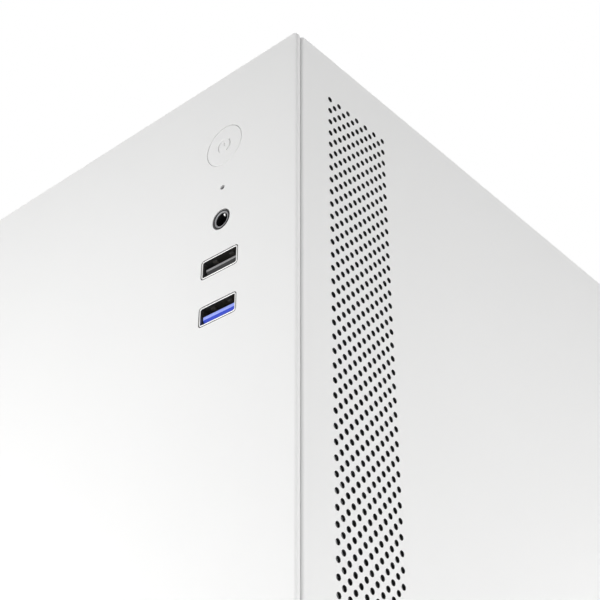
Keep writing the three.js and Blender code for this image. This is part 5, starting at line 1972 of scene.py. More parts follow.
# ---------------------------------------------------------------- motherboard
@dataclass(frozen=True)
class Motherboard:
    """The circuit board with its sockets, slots, power stages, connectors and heat spreaders."""

    site: Site
    thick: float = 1.6
    stand: tuple[float, ...] = (6.0, 122.0, 238.0)
    memory_pitch: float = 10.0

    def build(self) -> None:
        """Makes the board with everything soldered to it, then the memory."""
        low, high = self.site.box("motherboard")
        cpu_low, cpu_high = self.site.box("cpu")
        cpu = (cpu_low + cpu_high) / 2
        face = high.x - self.thick
        form = Form(BOARD)
        holes = [Disc(high.y - b, high.z - d, 1.9, 20) for b in self.stand for d in self.stand]
        form.plate(Slab((low.y, high.y), (low.z, high.z), 1.0, 4), Axis.X, (face, high.x), holes, (0.1, 0.1))
        form.use(PLATED)
        for b in self.stand:
            for d in self.stand:
                at = (high.y - b, high.z - d)
                form.turned(
                    [
                        (0, face - 0.1), (3.1, face - 0.1), (3.0, face - 1.2), (1.8, face - 1.9),
                        (0, face - 1.7)
                    ],
                    Axis.X, at, 20
                )
        self._processor_socket(form, face, cpu)
        self._power_stages(form, face, cpu)
        self._slots(form, face, cpu, high)
        self._connectors(form, face, cpu, low, high)
        self._small_parts(form, face, low, high)
        form.place("motherboard_assembly", "case", "circuit_board", self.site, ["motherboard"], bevel=0.15)

    @staticmethod
    def _processor_socket(form: Form, face: float, cpu: Vector) -> None:
        """The socket's frame and its lever."""
        form.use(SOCKET_PLASTIC).plate(
            Slab((cpu.y - 24, cpu.y + 24), (cpu.z - 22, cpu.z + 22), 1.5, 4), Axis.X, (face - 4.3, face),
        )
        form.use(PLATED)
        lever = [
            (face - 3, cpu.y + 25.2, cpu.z - 20), (face - 3, cpu.y + 25.2, cpu.z + 19),
            (face - 3.4, cpu.y + 27, cpu.z + 21.5)
        ]
        form.tube(smooth_path(lever, 3), 0.6, 8)

    @staticmethod
    def _power_stages(form: Form, face: float, cpu: Vector) -> None:
        """Chokes and capacitors round the socket, under a finned heat spreader."""
        form.use(DARK_ALUMINIUM)
        form.box((face - 6, face - 3), (cpu.y + 50, cpu.y + 64), (cpu.z - 44, cpu.z + 44))
        for i in range(9):
            y = cpu.y + 50 + i * 1.62
            form.box((face - 20, face - 5.9), (y, y + 1.0), (cpu.z - 44, cpu.z + 44))
        for i in range(7):
            z = cpu.z - 40 + i * 11.2
            form.use(BLACK_PLASTIC).box((face - 5.2, face), (cpu.y + 38, cpu.y + 45), (z, z + 7))
            form.use(PLATED).box((face - 1.4, face), (cpu.y + 37.4, cpu.y + 45.6), (z + 2, z + 5))
        for i in range(10):
            z = cpu.z - 42 + i * 8.6
            Motherboard._capacitor(form, face, cpu.y + 31.5, z, 2.9, 6.5)
        for i in range(5):
            Motherboard._capacitor(form, face, cpu.y - 30 + i * 9, cpu.z + 50, 2.9, 6.5)
            form.use(BLACK_PLASTIC).box(
                (face - 5, face), (cpu.y - 33 + i * 9, cpu.y - 27 + i * 9), (cpu.z + 57, cpu.z + 63.5)
            )

    @staticmethod
    def _capacitor(form: Form, face: float, y: float, z: float, radius: float, height: float) -> None:
        """A can on its black seat, with the waist where it is crimped."""
        seat, waist = face - 1.0, face - 2.0
        form.use(BLACK_PLASTIC).box(
            (seat, face), (y - radius - 0.2, y + radius + 0.2), (z - radius - 0.2, z + radius + 0.2)
        )
        profile = [(0, seat + 0.1), (radius, seat + 0.1), (radius, waist + 0.3), (radius - 0.3, waist)]
        profile += [
            (radius, waist - 0.3), (radius, face - height + 0.3), (radius - 0.3, face - height),
            (0, face - height)
        ]
        form.use(PLATED).turned(profile, Axis.X, (y, z), 20)

    def _slots(self, form: Form, face: float, cpu: Vector, high: Vector) -> None:
        """Memory slots with their latches, and the card slots with their grooves."""
        for i in range(2):
            y = cpu.y - 66 - i * self.memory_pitch
            form.use(SOCKET_PLASTIC).plate(
                Slab((y - 3.2, y + 3.2), (cpu.z - 70, cpu.z + 70), 0.4, 2), Axis.X, (face - 8, face),
                pockets=[
                    (Slab((y - 1.0, y + 1.0), (cpu.z - 67.4, cpu.z + 67.4), 0.2, 2), 5.0, SOCKET_PLASTIC)
                ],
            )
            for way in (-1, 1):
                z = cpu.z + way * 68.6
                form.use(BLACK_PLASTIC).box(
                    (face - 13, face - 7.9), (y - 1.9, y + 1.9), tuple(sorted((z, z + way * 3.4)))
                )
        covers = [self.site.box(f"slot_cover_{i}") for i in (1, 2, 3)]
        for i, (cover_low, cover_high) in enumerate(covers):
            z = (cover_low.z + cover_high.z) / 2
            rear, front = high.y - 48, high.y - (138 if i == 0 else 72)
            form.use(SOCKET_PLASTIC).plate(
                Slab((front, rear), (z - 3.6, z + 3.6), 0.5, 3), Axis.X, (face - 11, face),
                pockets=[(Slab((front + 4, rear - 2), (z - 0.9, z + 0.9), 0.2, 2), 8.0, SOCKET_PLASTIC)],
            )
            if i == 0:
                form.use(PLATED).plate(
                    Slab(
                        (front + 3, rear + 0.3), (z - 3.9, z + 3.9), 0.5, 3
                    ), Axis.X, (face - 10.4, face - 0.4),
                    [Slab((front + 3.3, rear), (z - 3.62, z + 3.62), 0.4, 3)],
                )
                form.use(BLACK_PLASTIC).box((face - 9, face), (front - 5.5, front), (z - 3.2, z + 3.2))
            for k in range(int((rear - front - 10) / 2)):
                y = front + 6 + 2 * k
                form.use(GOLD).box((face - 9.6, face - 6), (y, y + 0.7), (z + 0.85, z + 1.0))

    @staticmethod
    def _connectors(form: Form, face: float, cpu: Vector, low: Vector, high: Vector) -> None:
        """The power sockets, the drives' sockets, the front header and the chipset's spreader."""
        form.use(BLACK_PLASTIC).plate(
            Slab((low.y + 2, low.y + 12), (cpu.z - 85, cpu.z - 33), 0.6, 2), Axis.X, (face - 13, face),
            pockets=[
                (
                    Slab(
                        (low.y + 3.2 + 4.4 * r, low.y + 6.6 + 4.4 * r),
                        (cpu.z - 84 + 4.2 * k, cpu.z - 80.6 + 4.2 * k), 0.4, 2
                    ),
                    9.0, SOCKET_PLASTIC
                )
                for r in range(2) for k in range(12)
            ]
        )
        form.use(BLACK_PLASTIC).box((face - 13, face), (cpu.y + 14, cpu.y + 33), (high.z - 14, high.z - 3))
        for r in range(4):
            z = high.z - 203 + r * 11.4
            form.use(SOCKET_PLASTIC).plate(
                Slab((low.y + 8, low.y + 24), (z, z + 9), 0.5, 2), Axis.X, (face - 9, face),
                pockets=[
                    (
                        Polygon(
                            (
                                (low.y + 9, z + 1.2), (low.y + 23, z + 1.2), (low.y + 23, z + 4),
                                (low.y + 10.6, z + 4), (low.y + 10.6, z + 6.4), (low.y + 9, z + 6.4)
                            )
                        ),
                        6.0, SOCKET_PLASTIC
                    )
                ]
            )
        form.use(BLACK_PLASTIC).plate(
            Slab((low.y + 40, low.y + 60), (low.z + 3, low.z + 10), 0.5, 2), Axis.X, (face - 9, face),
            pockets=[(Slab((low.y + 41, low.y + 59), (low.z + 4, low.z + 9), 0.3, 2), 7.0, SOCKET_PLASTIC)],
        )
        z0 = max(cpu.z - 178, high.z - 238)
        form.use(DARK_ALUMINIUM).plate(
            Slab((high.y - 128, high.y - 88), (z0, cpu.z - 138), 3.0, 5), Axis.X, (face - 9, face - 1),
            edge=(0.8, 0.0),
            pockets=[
                (
                    Slab((high.y - 122 + 7 * k, high.y - 119.4 + 7 * k), (z0 + 4, cpu.z - 142), 1.2, 5),
                    2.2, DARK_ALUMINIUM
                )
                for k in range(5)
            ]
        )
        battery = (high.y - 80, cpu.z - 96)
        form.use(BLACK_PLASTIC).turned(
            [(0, face), (11, face), (11, face - 2.2), (0, face - 2.2)], Axis.X, battery, 40
        )
        form.use(PLATED).turned(
            [(0, face - 2.1), (10, face - 2.1), (10, face - 4.6), (9.6, face - 5.1), (0, face - 5.1)],
            Axis.X, battery, 48
        )
        for k in range(9):
            y = low.y + 70 + k * 2.54
            for r in range(2):
                form.use(GOLD).box(
                    (face - 8, face), (y, y + 0.64), (low.z + 5 + 2.54 * r, low.z + 5.64 + 2.54 * r)
                )
            form.use(BLACK_PLASTIC).box((face - 2.5, face), (y - 0.9, y + 1.6), (low.z + 4, low.z + 9.2))

    @staticmethod
    def _small_parts(form: Form, face: float, low: Vector, high: Vector) -> None:
        """Chips with their legs, sound capacitors, and rows of tiny parts."""
        chips = (
            (30, 118, 9, 9), (60, 200, 7, 7), (26, 190, 5, 5), (150, 226, 7, 9), (40, 160, 10, 10),
            (196, 232, 8, 8), (140, 130, 6, 6)
        )
        for forward, down, width, height in chips:
            y, z = high.y - forward, high.z - down
            form.use(SOCKET_PLASTIC).box(
                (face - 1.5, face - 0.1), (y - width / 2, y + width / 2), (z - height / 2, z + height / 2)
            )
            for k in range(int(height)):
                for way in (-1, 1):
                    spot = y + way * (width / 2 + 0.4)
                    form.use(PLATED).box(
                        (face - 0.5, face), (spot - 0.5, spot + 0.5),
                        (z - height / 2 + 0.4 + k, z - height / 2 + 0.8 + k)
                    )
        for k in range(6):
            Motherboard._capacitor(form, face, high.y - 30 - 8 * (k % 2), high.z - 180 - 9 * k, 3.2, 8)
        place = random.Random(7)
        for _ in range(110):
            y, z = place.uniform(low.y + 20, high.y - 20), place.uniform(low.z + 14, high.z - 10)
            long = place.random() < 0.5
            size = (0.9, 0.5) if long else (0.5, 0.9)
            form.use(place.choice((BEIGE, BLACK_PLASTIC, PLATED))).box(
                (face - 0.6, face), (y - size[0], y + size[0]), (z - size[1], z + size[1])
            )


@dataclass(frozen=True)
class MemoryModule:
    """A memory module: its board with gold contacts and a row of chips on each side."""

    site: Site
    number: int
    chips: int = 8

    def build(self) -> None:
        """Makes the module."""
        node = f"ram_module_{self.number}"
        low, high = self.site.box(node)
        y = (low.y + high.y) / 2
        middle = (low.z + high.z) / 2
        outline = Polygon((
            (low.x, low.z), (high.x, low.z), (high.x, middle + 3), (
                high.x - 3, middle + 3
            ), (high.x - 3, middle + 5),
            (
                high.x, middle + 5
            ), (high.x, high.z), (low.x, high.z), (low.x, high.z - 10), (low.x, low.z + 10),
        ))
        form = Form(GREEN_BOARD).plate(outline, Axis.Y, (y - 0.62, y + 0.62), edge=(0.1, 0.1), steps=1)
        pitch = (high.z - low.z - 18) / self.chips
        for way in (-1, 1):
            sides = sorted((y + way * 0.55, y + way * 1.7))
            for k in range(self.chips):
                z = low.z + 9 + pitch * (k + 0.5)
                form.use(SOCKET_PLASTIC).box((low.x + 6, low.x + 17), tuple(sides), (z - 5, z + 5))
                form.use(BEIGE).box(
                    (low.x + 19.5, low.x + 20.3), tuple(sorted((y + way * 0.55, y + way * 1.0))),
                    (z - 4, z + 3)
                )
            for k in range(70):
                z = low.z + 3 + k * 1.83
                if abs(z - middle - 4) < 1.6:
                    continue
                form.use(GOLD).box(
                    (high.x - 3.4, high.x - 0.5), tuple(sorted((y + way * 0.6, y + way * 0.68))),
                    (z - 0.5, z + 0.5)
                )
        form.place(f"memory_{self.number}", "case", "memory_board", self.site, [node], bevel=0.1)


# ---------------------------------------------------------------- rear
class SocketKind(Enum):
    """What a housing in the rear row holds."""

    USB = "two slow sockets"
    FAST_USB = "two fast sockets"
    VIDEO = "video socket"
    NETWORK = "network socket"
    SOUND = "three sound sockets"


@dataclass(frozen=True)
class RearSocket:
    """One housing in the row of rear sockets: how far down it is, its height, its reach and what is in it."""

    kind: SocketKind
    drop: float
    tall: float
    reach: float


@dataclass(frozen=True)
class RearSockets:
    """The row of sockets along the motherboard's rear edge, in their shells."""

    site: Site
    row: tuple[RearSocket, ...] = (
        RearSocket(SocketKind.USB, 14, 15, 29),
        RearSocket(SocketKind.VIDEO, 40, 20, 14),
        RearSocket(SocketKind.FAST_USB, 66, 15, 16),
        RearSocket(SocketKind.NETWORK, 92, 17, 28),
        RearSocket(SocketKind.FAST_USB, 116, 15, 16),
        RearSocket(SocketKind.SOUND, 142, 14, 35),
    )
    depth: float = 23
    corner: float = 0.8

    def build(self) -> None:
        """Makes every housing with its inserts."""
        low, high = self.site.box("rear_ports")
        top = high.z + 4
        form = Form(PLATED)
        form.use(SOCKET_PLASTIC).box((high.x - 6, high.x), (high.y - 27, high.y - 10), (low.z, high.z))
        makers = {
            SocketKind.USB: self._usb,
            SocketKind.FAST_USB: self._fast_usb,
            SocketKind.VIDEO: self._video,
            SocketKind.NETWORK: self._network,
            SocketKind.SOUND: self._sound,
        }
        for socket in self.row:
            z = top - socket.drop
            x = (high.x - socket.reach, high.x)
            makers[socket.kind](form, x, (z - socket.tall / 2, z + socket.tall / 2), high.y)
        form.place("rear_socket_row", "case", "bright_steel", self.site, ["rear_ports"], bevel=0.12)

    def _usb(self, form: Form, x: Span, z: Span, rear: float, tongue: Finish = SOCKET_PLASTIC) -> None:
        """A shell with USB openings side by side across x, long in z."""
        count = max(1, round((x[1] - x[0]) / 9.5))
        pitch = (x[1] - x[0]) / count
        mouths, middle = [], (z[0] + z[1]) / 2
        for i in range(count):
            at = x[0] + pitch * (i + 0.5)
            mouths.append((at, Slab((at - 2.65, at + 2.65), (middle - 6.3, middle + 6.3), 0.5, 3)))
        # painted shade: the mouths' floors take the dark plate
        pockets = [(mouth, -9.0, DARK_PLATE_PAINTED_SHADE) for _, mouth in mouths]
        form.use(PLATED).plate(Slab(x, z, self.corner, 4), Axis.Y, (rear, rear - self.depth), pockets=pockets)
        for at, _ in mouths:
            form.use(tongue).box((at + 0.2, at + 1.9), (rear - 9.2, rear - 1.0), (middle - 5.5, middle + 5.5))
            for k in range(4):
                spot = middle + (k - 1.5) * 2.4
                form.use(GOLD).box((at + 0.05, at + 0.25), (rear - 9, rear - 1.6), (spot - 0.5, spot + 0.5))

    def _fast_usb(self, form: Form, x: Span, z: Span, rear: float) -> None:
        """The same with blue tongues."""
        self._usb(form, x, z, rear, BLUE_PLASTIC)

    def _video(self, form: Form, x: Span, z: Span, rear: float) -> None:
        """A digital video socket: a shell with a mouth that narrows on one side."""
        m, at = (z[0] + z[1]) / 2, (x[0] + x[1]) / 2
        mouth = Polygon(
            (
                (at - 2.3, m - 6.8), (at + 0.6, m - 6.8), (at + 2.3, m - 5.2), (at + 2.3, m + 5.2),
                (at + 0.6, m + 6.8), (at - 2.3, m + 6.8)
            )
        )
        # painted shade: the mouth's floor takes the dark plate
        form.use(PLATED).plate(
            Slab(x, z, self.corner, 4), Axis.Y, (rear - 0.8, rear - self.depth),
            pockets=[(mouth, -8.0, DARK_PLATE_PAINTED_SHADE)]
        )
        form.plate(Polygon(tuple(mouth.points(0.45))), Axis.Y, (rear - 0.9, rear), [mouth])
        form.use(SOCKET_PLASTIC).box((at - 0.6, at + 0.6), (rear - 8, rear - 1.5), (m - 5.4, m + 5.4))

    def _network(self, form: Form, x: Span, z: Span, rear: float) -> None:
        """A network socket with its latch notch beside two USB openings."""
        split = x[1] - 12.5
        self._usb(form, (split - 0.2, x[1]), z, rear)
        m = (z[0] + z[1]) / 2
        mouth = Polygon(
            (
                (x[0] + 2, m - 6), (split - 5.5, m - 6), (split - 5.5, m - 3), (split - 3.6, m - 3),
                (split - 3.6, m - 1.7), (split - 2, m - 1.7), (split - 2, m + 1.7), (split - 3.6, m + 1.7),
                (split - 3.6, m + 3), (split - 5.5, m + 3), (split - 5.5, m + 6), (x[0] + 2, m + 6)
            )
        )
        # painted shade: the mouth's floor takes the dark plate
        form.use(PLATED).plate(
            Slab((x[0], split), z, self.corner, 4), Axis.Y, (rear, rear - self.depth),
            pockets=[(mouth, -10.0, DARK_PLATE_PAINTED_SHADE)]
        )
        for k in range(8):
            spot = m + (k - 3.5) * 1.02
            form.use(GOLD).box((x[0] + 2.2, x[0] + 2.8), (rear - 9, rear - 2.5), (spot - 0.22, spot + 0.22))

    def _sound(self, form: Form, x: Span, z: Span, rear: float) -> None:
        """Three round sound sockets in a block, each with its coloured collar."""
        m, pitch = (z[0] + z[1]) / 2, (x[1] - x[0]) / 3
        spots = [x[0] + pitch * (i + 0.5) for i in range(3)]
        form.use(SOCKET_PLASTIC).plate(
            Slab(x, z, self.corner, 4), Axis.Y, (rear - 1.0, rear - self.depth), pockets=[
                (Disc(s, m, 4.2, 32), -2.0, SOCKET_PLASTIC) for s in spots
            ]
        )
        for spot, collar in zip(spots, (SOUND_GREEN, SOUND_PINK, SOUND_BLUE)):
            profile = [(4.0, rear - 2.9), (4.0, rear - 0.3), (3.7, rear), (2.6, rear), (1.8, rear - 0.7)]
            form.use(collar).turned([*profile, (1.8, rear - 2.9)], Axis.Y, (spot, m), 40)
            form.use(GOLD).plate(
                Disc(spot, m, 1.82, 32), Axis.Y, (rear - 1.6, rear - 2.9), [Disc(spot, m, 1.6, 32)]
            )


@dataclass(frozen=True)
class RearSheet:
    """The rear sheet with its openings and vents, and the covers of the unused slots."""

    site: Site
    slot_half: float = 6.75

    def build(self) -> None:
        """Makes the sheet and the covers."""
        low, high = self.site.box("chassis_rear")
        shield_low, shield_high = self.site.box("io_shield")
        psu_low, psu_high = self.site.box("psu_case")
        fan_low, fan_high = self.site.box("rear_fan_frame")
        fan = (fan_low + fan_high) / 2
        covers = [self.site.box(f"slot_cover_{i}") for i in range(1, 5)]
        holes: list[Shape] = [
            Slab((shield_low.x + 1, shield_high.x - 1), (shield_low.z + 1, shield_high.z - 1), 0.6, 3),
            Disc(fan.x, fan.z, (fan_high.x - fan_low.x) / 2 - 2, 72),
            Slab((psu_low.x + 5, psu_high.x - 5), (psu_low.z + 5, psu_high.z - 5), 1.5, 4),
        ]
        for cover_low, cover_high in covers:
            z = (cover_low.z + cover_high.z) / 2
            holes.append(
                Slab((cover_low.x + 6, cover_high.x - 2), (z - self.slot_half, z + self.slot_half), 1.0, 4)
            )
        screws = [self.site.box(f"thumbscrew_{s}_{l}") for s in ("left", "right") for l in ("lower", "upper")]
        holes += [Disc((a.x + b.x) / 2, (a.z + b.z) / 2, 1.9, 20) for a, b in screws]
        holes += list(honeycomb((-75.5, -56), (122, 212), 4.6, 1.3))
        holes += list(honeycomb((-75.5, -34), (218, 262), 4.6, 1.3))
        form = Form(WHITE_COAT).plate(
            Slab((low.x, high.x), (low.z, high.z), 1.0, 3), Axis.Y, (low.y, high.y), holes
        )
        form.place("rear_sheet", "case", "white_steel", self.site, ["chassis_rear"])
        for number, (cover_low, cover_high) in enumerate(covers, 1):
            self._cover(number, cover_low, cover_high)
        self._screws(psu_low, psu_high)

    def _cover(self, number: int, low: Vector, high: Vector) -> None:
        """One slot's cover: a plate with a row of vents and a tab bent inwards."""
        z, y = (low.z + high.z) / 2, high.y
        count = 11
        pitch = (high.x - low.x - 30) / count
        vents = [
            Slab((low.x + 17 + pitch * i, low.x + 17 + pitch * (i + 0.62)), (z - 4.2, z + 4.2), 1.2, 4)
            for i in range(count)
        ]
        form = Form(NICKEL).plate(
            Slab((low.x, high.x), (low.z, high.z), 1.2, 4), Axis.Y, (y - 0.8, y), vents, (0.1, 0.1), steps=2
        )
        form.box((low.x, low.x + 0.8), (low.y, y - 0.1), (low.z + 0.5, high.z - 0.5))
        form.place(f"slot_blank_{number}", "case", "bright_steel", self.site, [f"slot_cover_{number}"])

    def _screws(self, psu_low: Vector, psu_high: Vector) -> None:
        """The screws that hold the power supply."""
        form = Form(SCREW_BLACK)
        spots = [(psu_low.x + 6, psu_low.z + 80), (psu_high.x - 6, psu_low.z + 80)]
        spots += [(psu_low.x + 6, psu_low.z + 9), (psu_high.x - 30, psu_high.z - 6)]
        for x, z in spots:
            screw_head(form, Axis.Y, (x, z), psu_high.y + 1.3, 3.4)
        form.place("supply_screws", "case", "black_paint", self.site)


def screw_head(form: Form, axis: Axis, centre: Point, face: float, radius: float, way: int = 1) -> None:
    """A pan head with a cross recess.

    Args:
        form: The form it goes into.
        axis: The screw's axis.
        centre: Where that axis is.
        face: The head's underside.
        radius: The head's radius.
        way: 1 where the head points along the axis, else -1.
    """
    profile = [(radius, 0.0), (radius, 0.5), (radius * 0.9, 1.2), (radius * 0.7, 1.55)]
    rings = [
        form.ring(axis.spot(*p, face + way * w) for p in Disc(*centre, r, 28).points()) for r, w in profile
    ]
    for first, second in zip(rings, rings[1:]):
        form.wall(first, second)
    form.face(rings[0])
    arm, long, (u, v) = radius * 0.14, radius * 0.52, centre
    turns = [(long, -arm), (long, arm), (arm, arm), (arm, long), (-arm, long), (-arm, arm)]
    turns += [(-long, arm), (-long, -arm), (-arm, -arm), (-arm, -long), (arm, -long), (arm, -arm)]
    cross = Polygon(tuple((u + a, v + b) for a, b in turns))
    mouth, floor = form.skin(cross, axis, [(0.0, face + way * 1.55), (-0.06, face + way * 0.6)])
    form.fill([rings[-1], mouth])
    form.fill([floor])


# ---------------------------------------------------------------- power supply
@dataclass(frozen=True)
class PowerSupply:
    """The power supply: a black casing with a honeycomb rear, the inlet, the rocker and the parts inside."""

    site: Site
    sheet: float = 0.8
    inlet_x: float = -50.0
    inlet_rise: float = 46.5
    rocker_drop: float = 22.5
    tilt: float = 8.0
    pin: tuple[float, float] = (2, 4)
    fan_hole: float = 58
    room_over_board: float = 8
    cooler_tall: float = 38

    def build(self) -> None:
        """Makes the casing, the inlet, the rocker and the inside."""
        low, high = self.site.box("psu_case")
        port = low.z + self.inlet_rise
        self._casing(low, high, port)
        self._inlet(high.y, port)
        self._rocker(high.y, port - self.rocker_drop)
        self._inside(low, high)

    def _casing(self, low: Vector, high: Vector, port: float) -> None:
        """Six sheets: the fan's hole below, the lead's hole in front and the honeycomb behind."""
        t = self.sheet
        fan_low, fan_high = self.site.box("psu_fan_frame")
        fan = (fan_low + fan_high) / 2
        form = Form(BLACK_COAT)
        across = (low.x + t, high.x - t)
        form.plate(
            Slab((low.x, high.x), (low.y, high.y), 1.0, 3), Axis.Z, (low.z, low.z + t),
            [Disc(0, fan.y, self.fan_hole, 72)]
        )
        form.plate(Slab((low.x, high.x), (low.y, high.y), 1.0, 3), Axis.Z, (high.z - t, high.z))
        for x in ((low.x, low.x + t), (high.x - t, high.x)):
            form.plate(Slab((low.y, high.y), (low.z + t, high.z - t), 0.2, 2), Axis.X, x)
        lead = Disc(52, high.z - 24, 9, 32)
        form.plate(Slab(across, (low.z + t, high.z - t), 0.2, 2), Axis.Y, (low.y, low.y + t), [lead])
        span = (self.inlet_x - 13.5, self.inlet_x + 13.5)
        opening = Slab(span, (port - 30.5, port + 10), 0.8, 3)
        vents = list(honeycomb((-30, high.x - 5), (low.z + 6, high.z - 6), 4.8, 1.2))
        form.plate(
            Slab(across, (low.z + t, high.z - t), 0.2, 2), Axis.Y, (high.y - t, high.y), [opening, *vents]
        )
        form.use(LABEL).box(
            (low.x + 30, high.x - 30), (low.y + 20, low.y + 90), (high.z - 0.02, high.z + 0.08)
        )
        form.place("supply_casing", "case", "black_paint", self.site, ["psu_case"])

    def _inlet(self, rear: float, port: float) -> None:
        """The mains inlet's bezel and well with its three pins, and the rocker's housing."""
        x, face, foot = self.inlet_x, rear + 1.6, rear + 0.3
        well = Polygon(
            (
                (x - 12, port - 8), (x + 12, port - 8), (x + 12, port + 3.5), (x + 7.5, port + 8),
                (x - 7.5, port + 8), (x - 12, port + 3.5)
            )
        )
        rocker_z = port - self.rocker_drop
        slot = Slab((x - 9.5, x + 9.5), (rocker_z - 6.5, rocker_z + 6.5), 0.4, 3)
        form = Form(SOCKET_PLASTIC).plate(
            Slab(
                (x - 15.25, x + 15.25), (rocker_z - 8.5, port + 11.5), 2.0, 6
            ), Axis.Y, (foot, face), [well, slot],
            (0.0, 0.5),
        )
        body = Slab((x - 13, x + 13), (port - 9.5, port + 9.5), 1.0, 3)
        form.plate(body, Axis.Y, (foot + 0.1, rear - 20), pockets=[(well, -18.0, SOCKET_PLASTIC)])
        housing = Slab((x - 10.7, x + 10.7), (rocker_z - 7.7, rocker_z + 7.7), 0.6, 3)
        form.plate(housing, Axis.Y, (foot + 0.1, rear - 9), pockets=[(slot, -8.2, SOCKET_PLASTIC)])
        form.use(PLATED)
        wide, tall = self.pin[0] / 2, self.pin[1] / 2
        for dx, dz in ((-7, -2), (0, 2), (7, -2)):
            middle = (x + dx, port + dz)
            form.box(
                (middle[0] - wide, middle[0] + wide), (rear - 18, rear - 3),
                (middle[1] - tall, middle[1] + tall)
            )
        form.place("supply_inlet", "case", "black_plastic", self.site, ["psu_inlet"])

    def _rocker(self, rear: float, z: float) -> None:
        """The rocker with its hollow crown and its two marks, a bar and a ring."""
        crown = [
            (4.6 - 1.35 * math.cos(math.pi * i / 12 - math.pi / 2) ** 1.5, 5.1 - 10.2 * i / 12)
            for i in range(13)
        ]
        outline = Polygon(((-3.4, -3.0), *[(y, h) for y, h in reversed(crown)], (-3.4, 3.0)))
        form = Form(SOCKET_PLASTIC).plate(outline, Axis.X, (-9.1, 9.1), edge=(0.25, 0.25), steps=2)
        form.rod(Axis.X, (0, 0), (-10.0, 10.0), 1.0, 0.1, 16)
        form.use(WHITE_PLASTIC)
        form.box((-0.35, 0.35), (3.9, 4.45), (2.0, 4.3))
        ring = [
            Vector((1.15 * math.cos(a), 4.15, -3.1 + 1.15 * math.sin(a)))
            for a in (2 * math.pi * i / 28 for i in range(28))
        ]
        form.tube(ring, 0.22, 8, closed=True)
        form.move(
            Matrix.Translation((self.inlet_x, rear - 2, z)) @ Matrix.Rotation(math.radians(self.tilt), 4, "X")
        )
        form.place(
            "supply_rocker", "psu_rocker", "black_plastic", self.site, ["psu_rocker"]
        )

    def _inside(self, low: Vector, high: Vector) -> None:
        """The circuit board under the lid with its transformer, coils, cans and coolers."""
        board = high.z - self.room_over_board
        roof = board - self.cooler_tall
        form = Form(GREEN_BOARD).plate(
            Slab((-68, 68), (low.y + 8, high.y - 16), 1.0, 3), Axis.Z, (board, board + 1.6)
        )
        for x in (8, 58):
            form.use(ALUMINIUM).box((x, x + 2.5), (low.y + 30, low.y + 110), (roof + 2, board))
            for k in range(5):
                z = roof + 5 + 6.5 * k
                form.box((x - 4, x + 0.1), (low.y + 30, low.y + 110), (z, z + 1.2))
        form.use(BLACK_PLASTIC).box((-38, -8), (low.y + 28, low.y + 56), (board - 30, board))
        form.use(WIRE_YELLOW).box((-35, -11), (low.y + 25, low.y + 59), (board - 25, board - 5))
        for x, y, r, h in (
            (-56, 34, 11, 34), (-56, 62, 11, 34), (20, 28, 5, 24), (32, 30, 5, 24), (26, 46, 5, 22)
        ):
            form.use(SOCKET_PLASTIC).rod(Axis.Z, (x, low.y + y), (board - h, board), r, 0.8, 32)
        for x, y in ((34, 78), (34, 98), (-24, 84)):
            for k in range(18):
                a = 2 * math.pi * k / 18
                loop = [
                    Vector(
                        (
                            x + (8 + 3.2 * math.cos(b)) * math.cos(a),
                            low.y + y + (8 + 3.2 * math.cos(b)) * math.sin(a),
                            board - 8 + 5 * math.sin(b),
                        )
                    )
                    for b in (2 * math.pi * i / 12 for i in range(12))
                ]
                form.use(COPPER).tube(loop, 0.9, 6, closed=True)
        form.place("supply_board", "case", "circuit_board", self.site, ["psu_electronics"], bevel=0.2)


# ---------------------------------------------------------------- drives
@dataclass(frozen=True)
class Drives:
    """The hard drive in its cage and the solid state drive on the tray."""

    site: Site

    def build(self) -> None:
        """Makes both drives."""
        self._hard()
        self._solid()

    def _hard(self) -> None:
        """A cast body with a stepped lid, screws, a blank label and its connectors."""
        low, high = self.site.box("hard_drive")
        form = Form(CAST).plate(
            Slab((low.x, high.x), (low.y, high.y), 2.0, 4), Axis.Z, (low.z + 1.5, high.z - 2), edge=(0.4, 0.8)
        )
        form.use(NICKEL)
        lid = Slab((low.x + 3, high.x - 3), (low.y + 4, high.y - 10), 9, 8)
        form.plate(lid, Axis.Z, (high.z - 2.1, high.z - 0.4), edge=(0.0, 0.5))
        form.use(LABEL).plate(
            Slab(
                (low.x + 14, high.x - 14), (low.y + 34, high.y - 34), 2, 4
            ), Axis.Z, (high.z - 0.45, high.z - 0.3)
        )
        form.use(PLATED)
        for x in (low.x + 7, high.x - 7):
            for y in (low.y + 9, (low.y + high.y) / 2, high.y - 15):
                screw_head(form, Axis.Z, (x, y), high.z - 1.55, 2.0)
        form.use(GREEN_BOARD).box((low.x + 6, high.x - 6), (low.y + 6, high.y - 30), (low.z, low.z + 1.5))
        form.use(SOCKET_PLASTIC).box(
            (low.x + 14, low.x + 54), (high.y - 8, high.y - 0.2), (low.z + 0.4, low.z + 6)
        )
        form.place("hard_drive_assembly", "case", "cast_aluminium", self.site, ["hard_drive"])

    def _solid(self) -> None:
        """A slim two-part case with a blank label and its connector."""
        low, high = self.site.box("solid_state_drive")
        form = Form(BLACK_COAT)
        middle = (low.x + high.x) / 2
        for span in ((low.x, middle - 0.1), (middle + 0.1, high.x - 0.15)):
            form.plate(Slab((low.y, high.y), (low.z, high.z), 2.5, 5), Axis.X, span, edge=(0.4, 0.4))
        form.plate(
            Slab((low.y + 0.4, high.y - 0.4), (low.z + 0.4, high.z - 0.4), 2.3, 5), Axis.X,
            (middle - 0.3, middle + 0.3)
        )
        form.use(LABEL).plate(
            Slab((low.y + 14, high.y - 14), (low.z + 10, high.z - 10), 1.5, 4), Axis.X, (high.x - 0.2, high.x)
        )
        form.place("solid_drive_assembly", "case", "black_paint", self.site, ["solid_state_drive"])


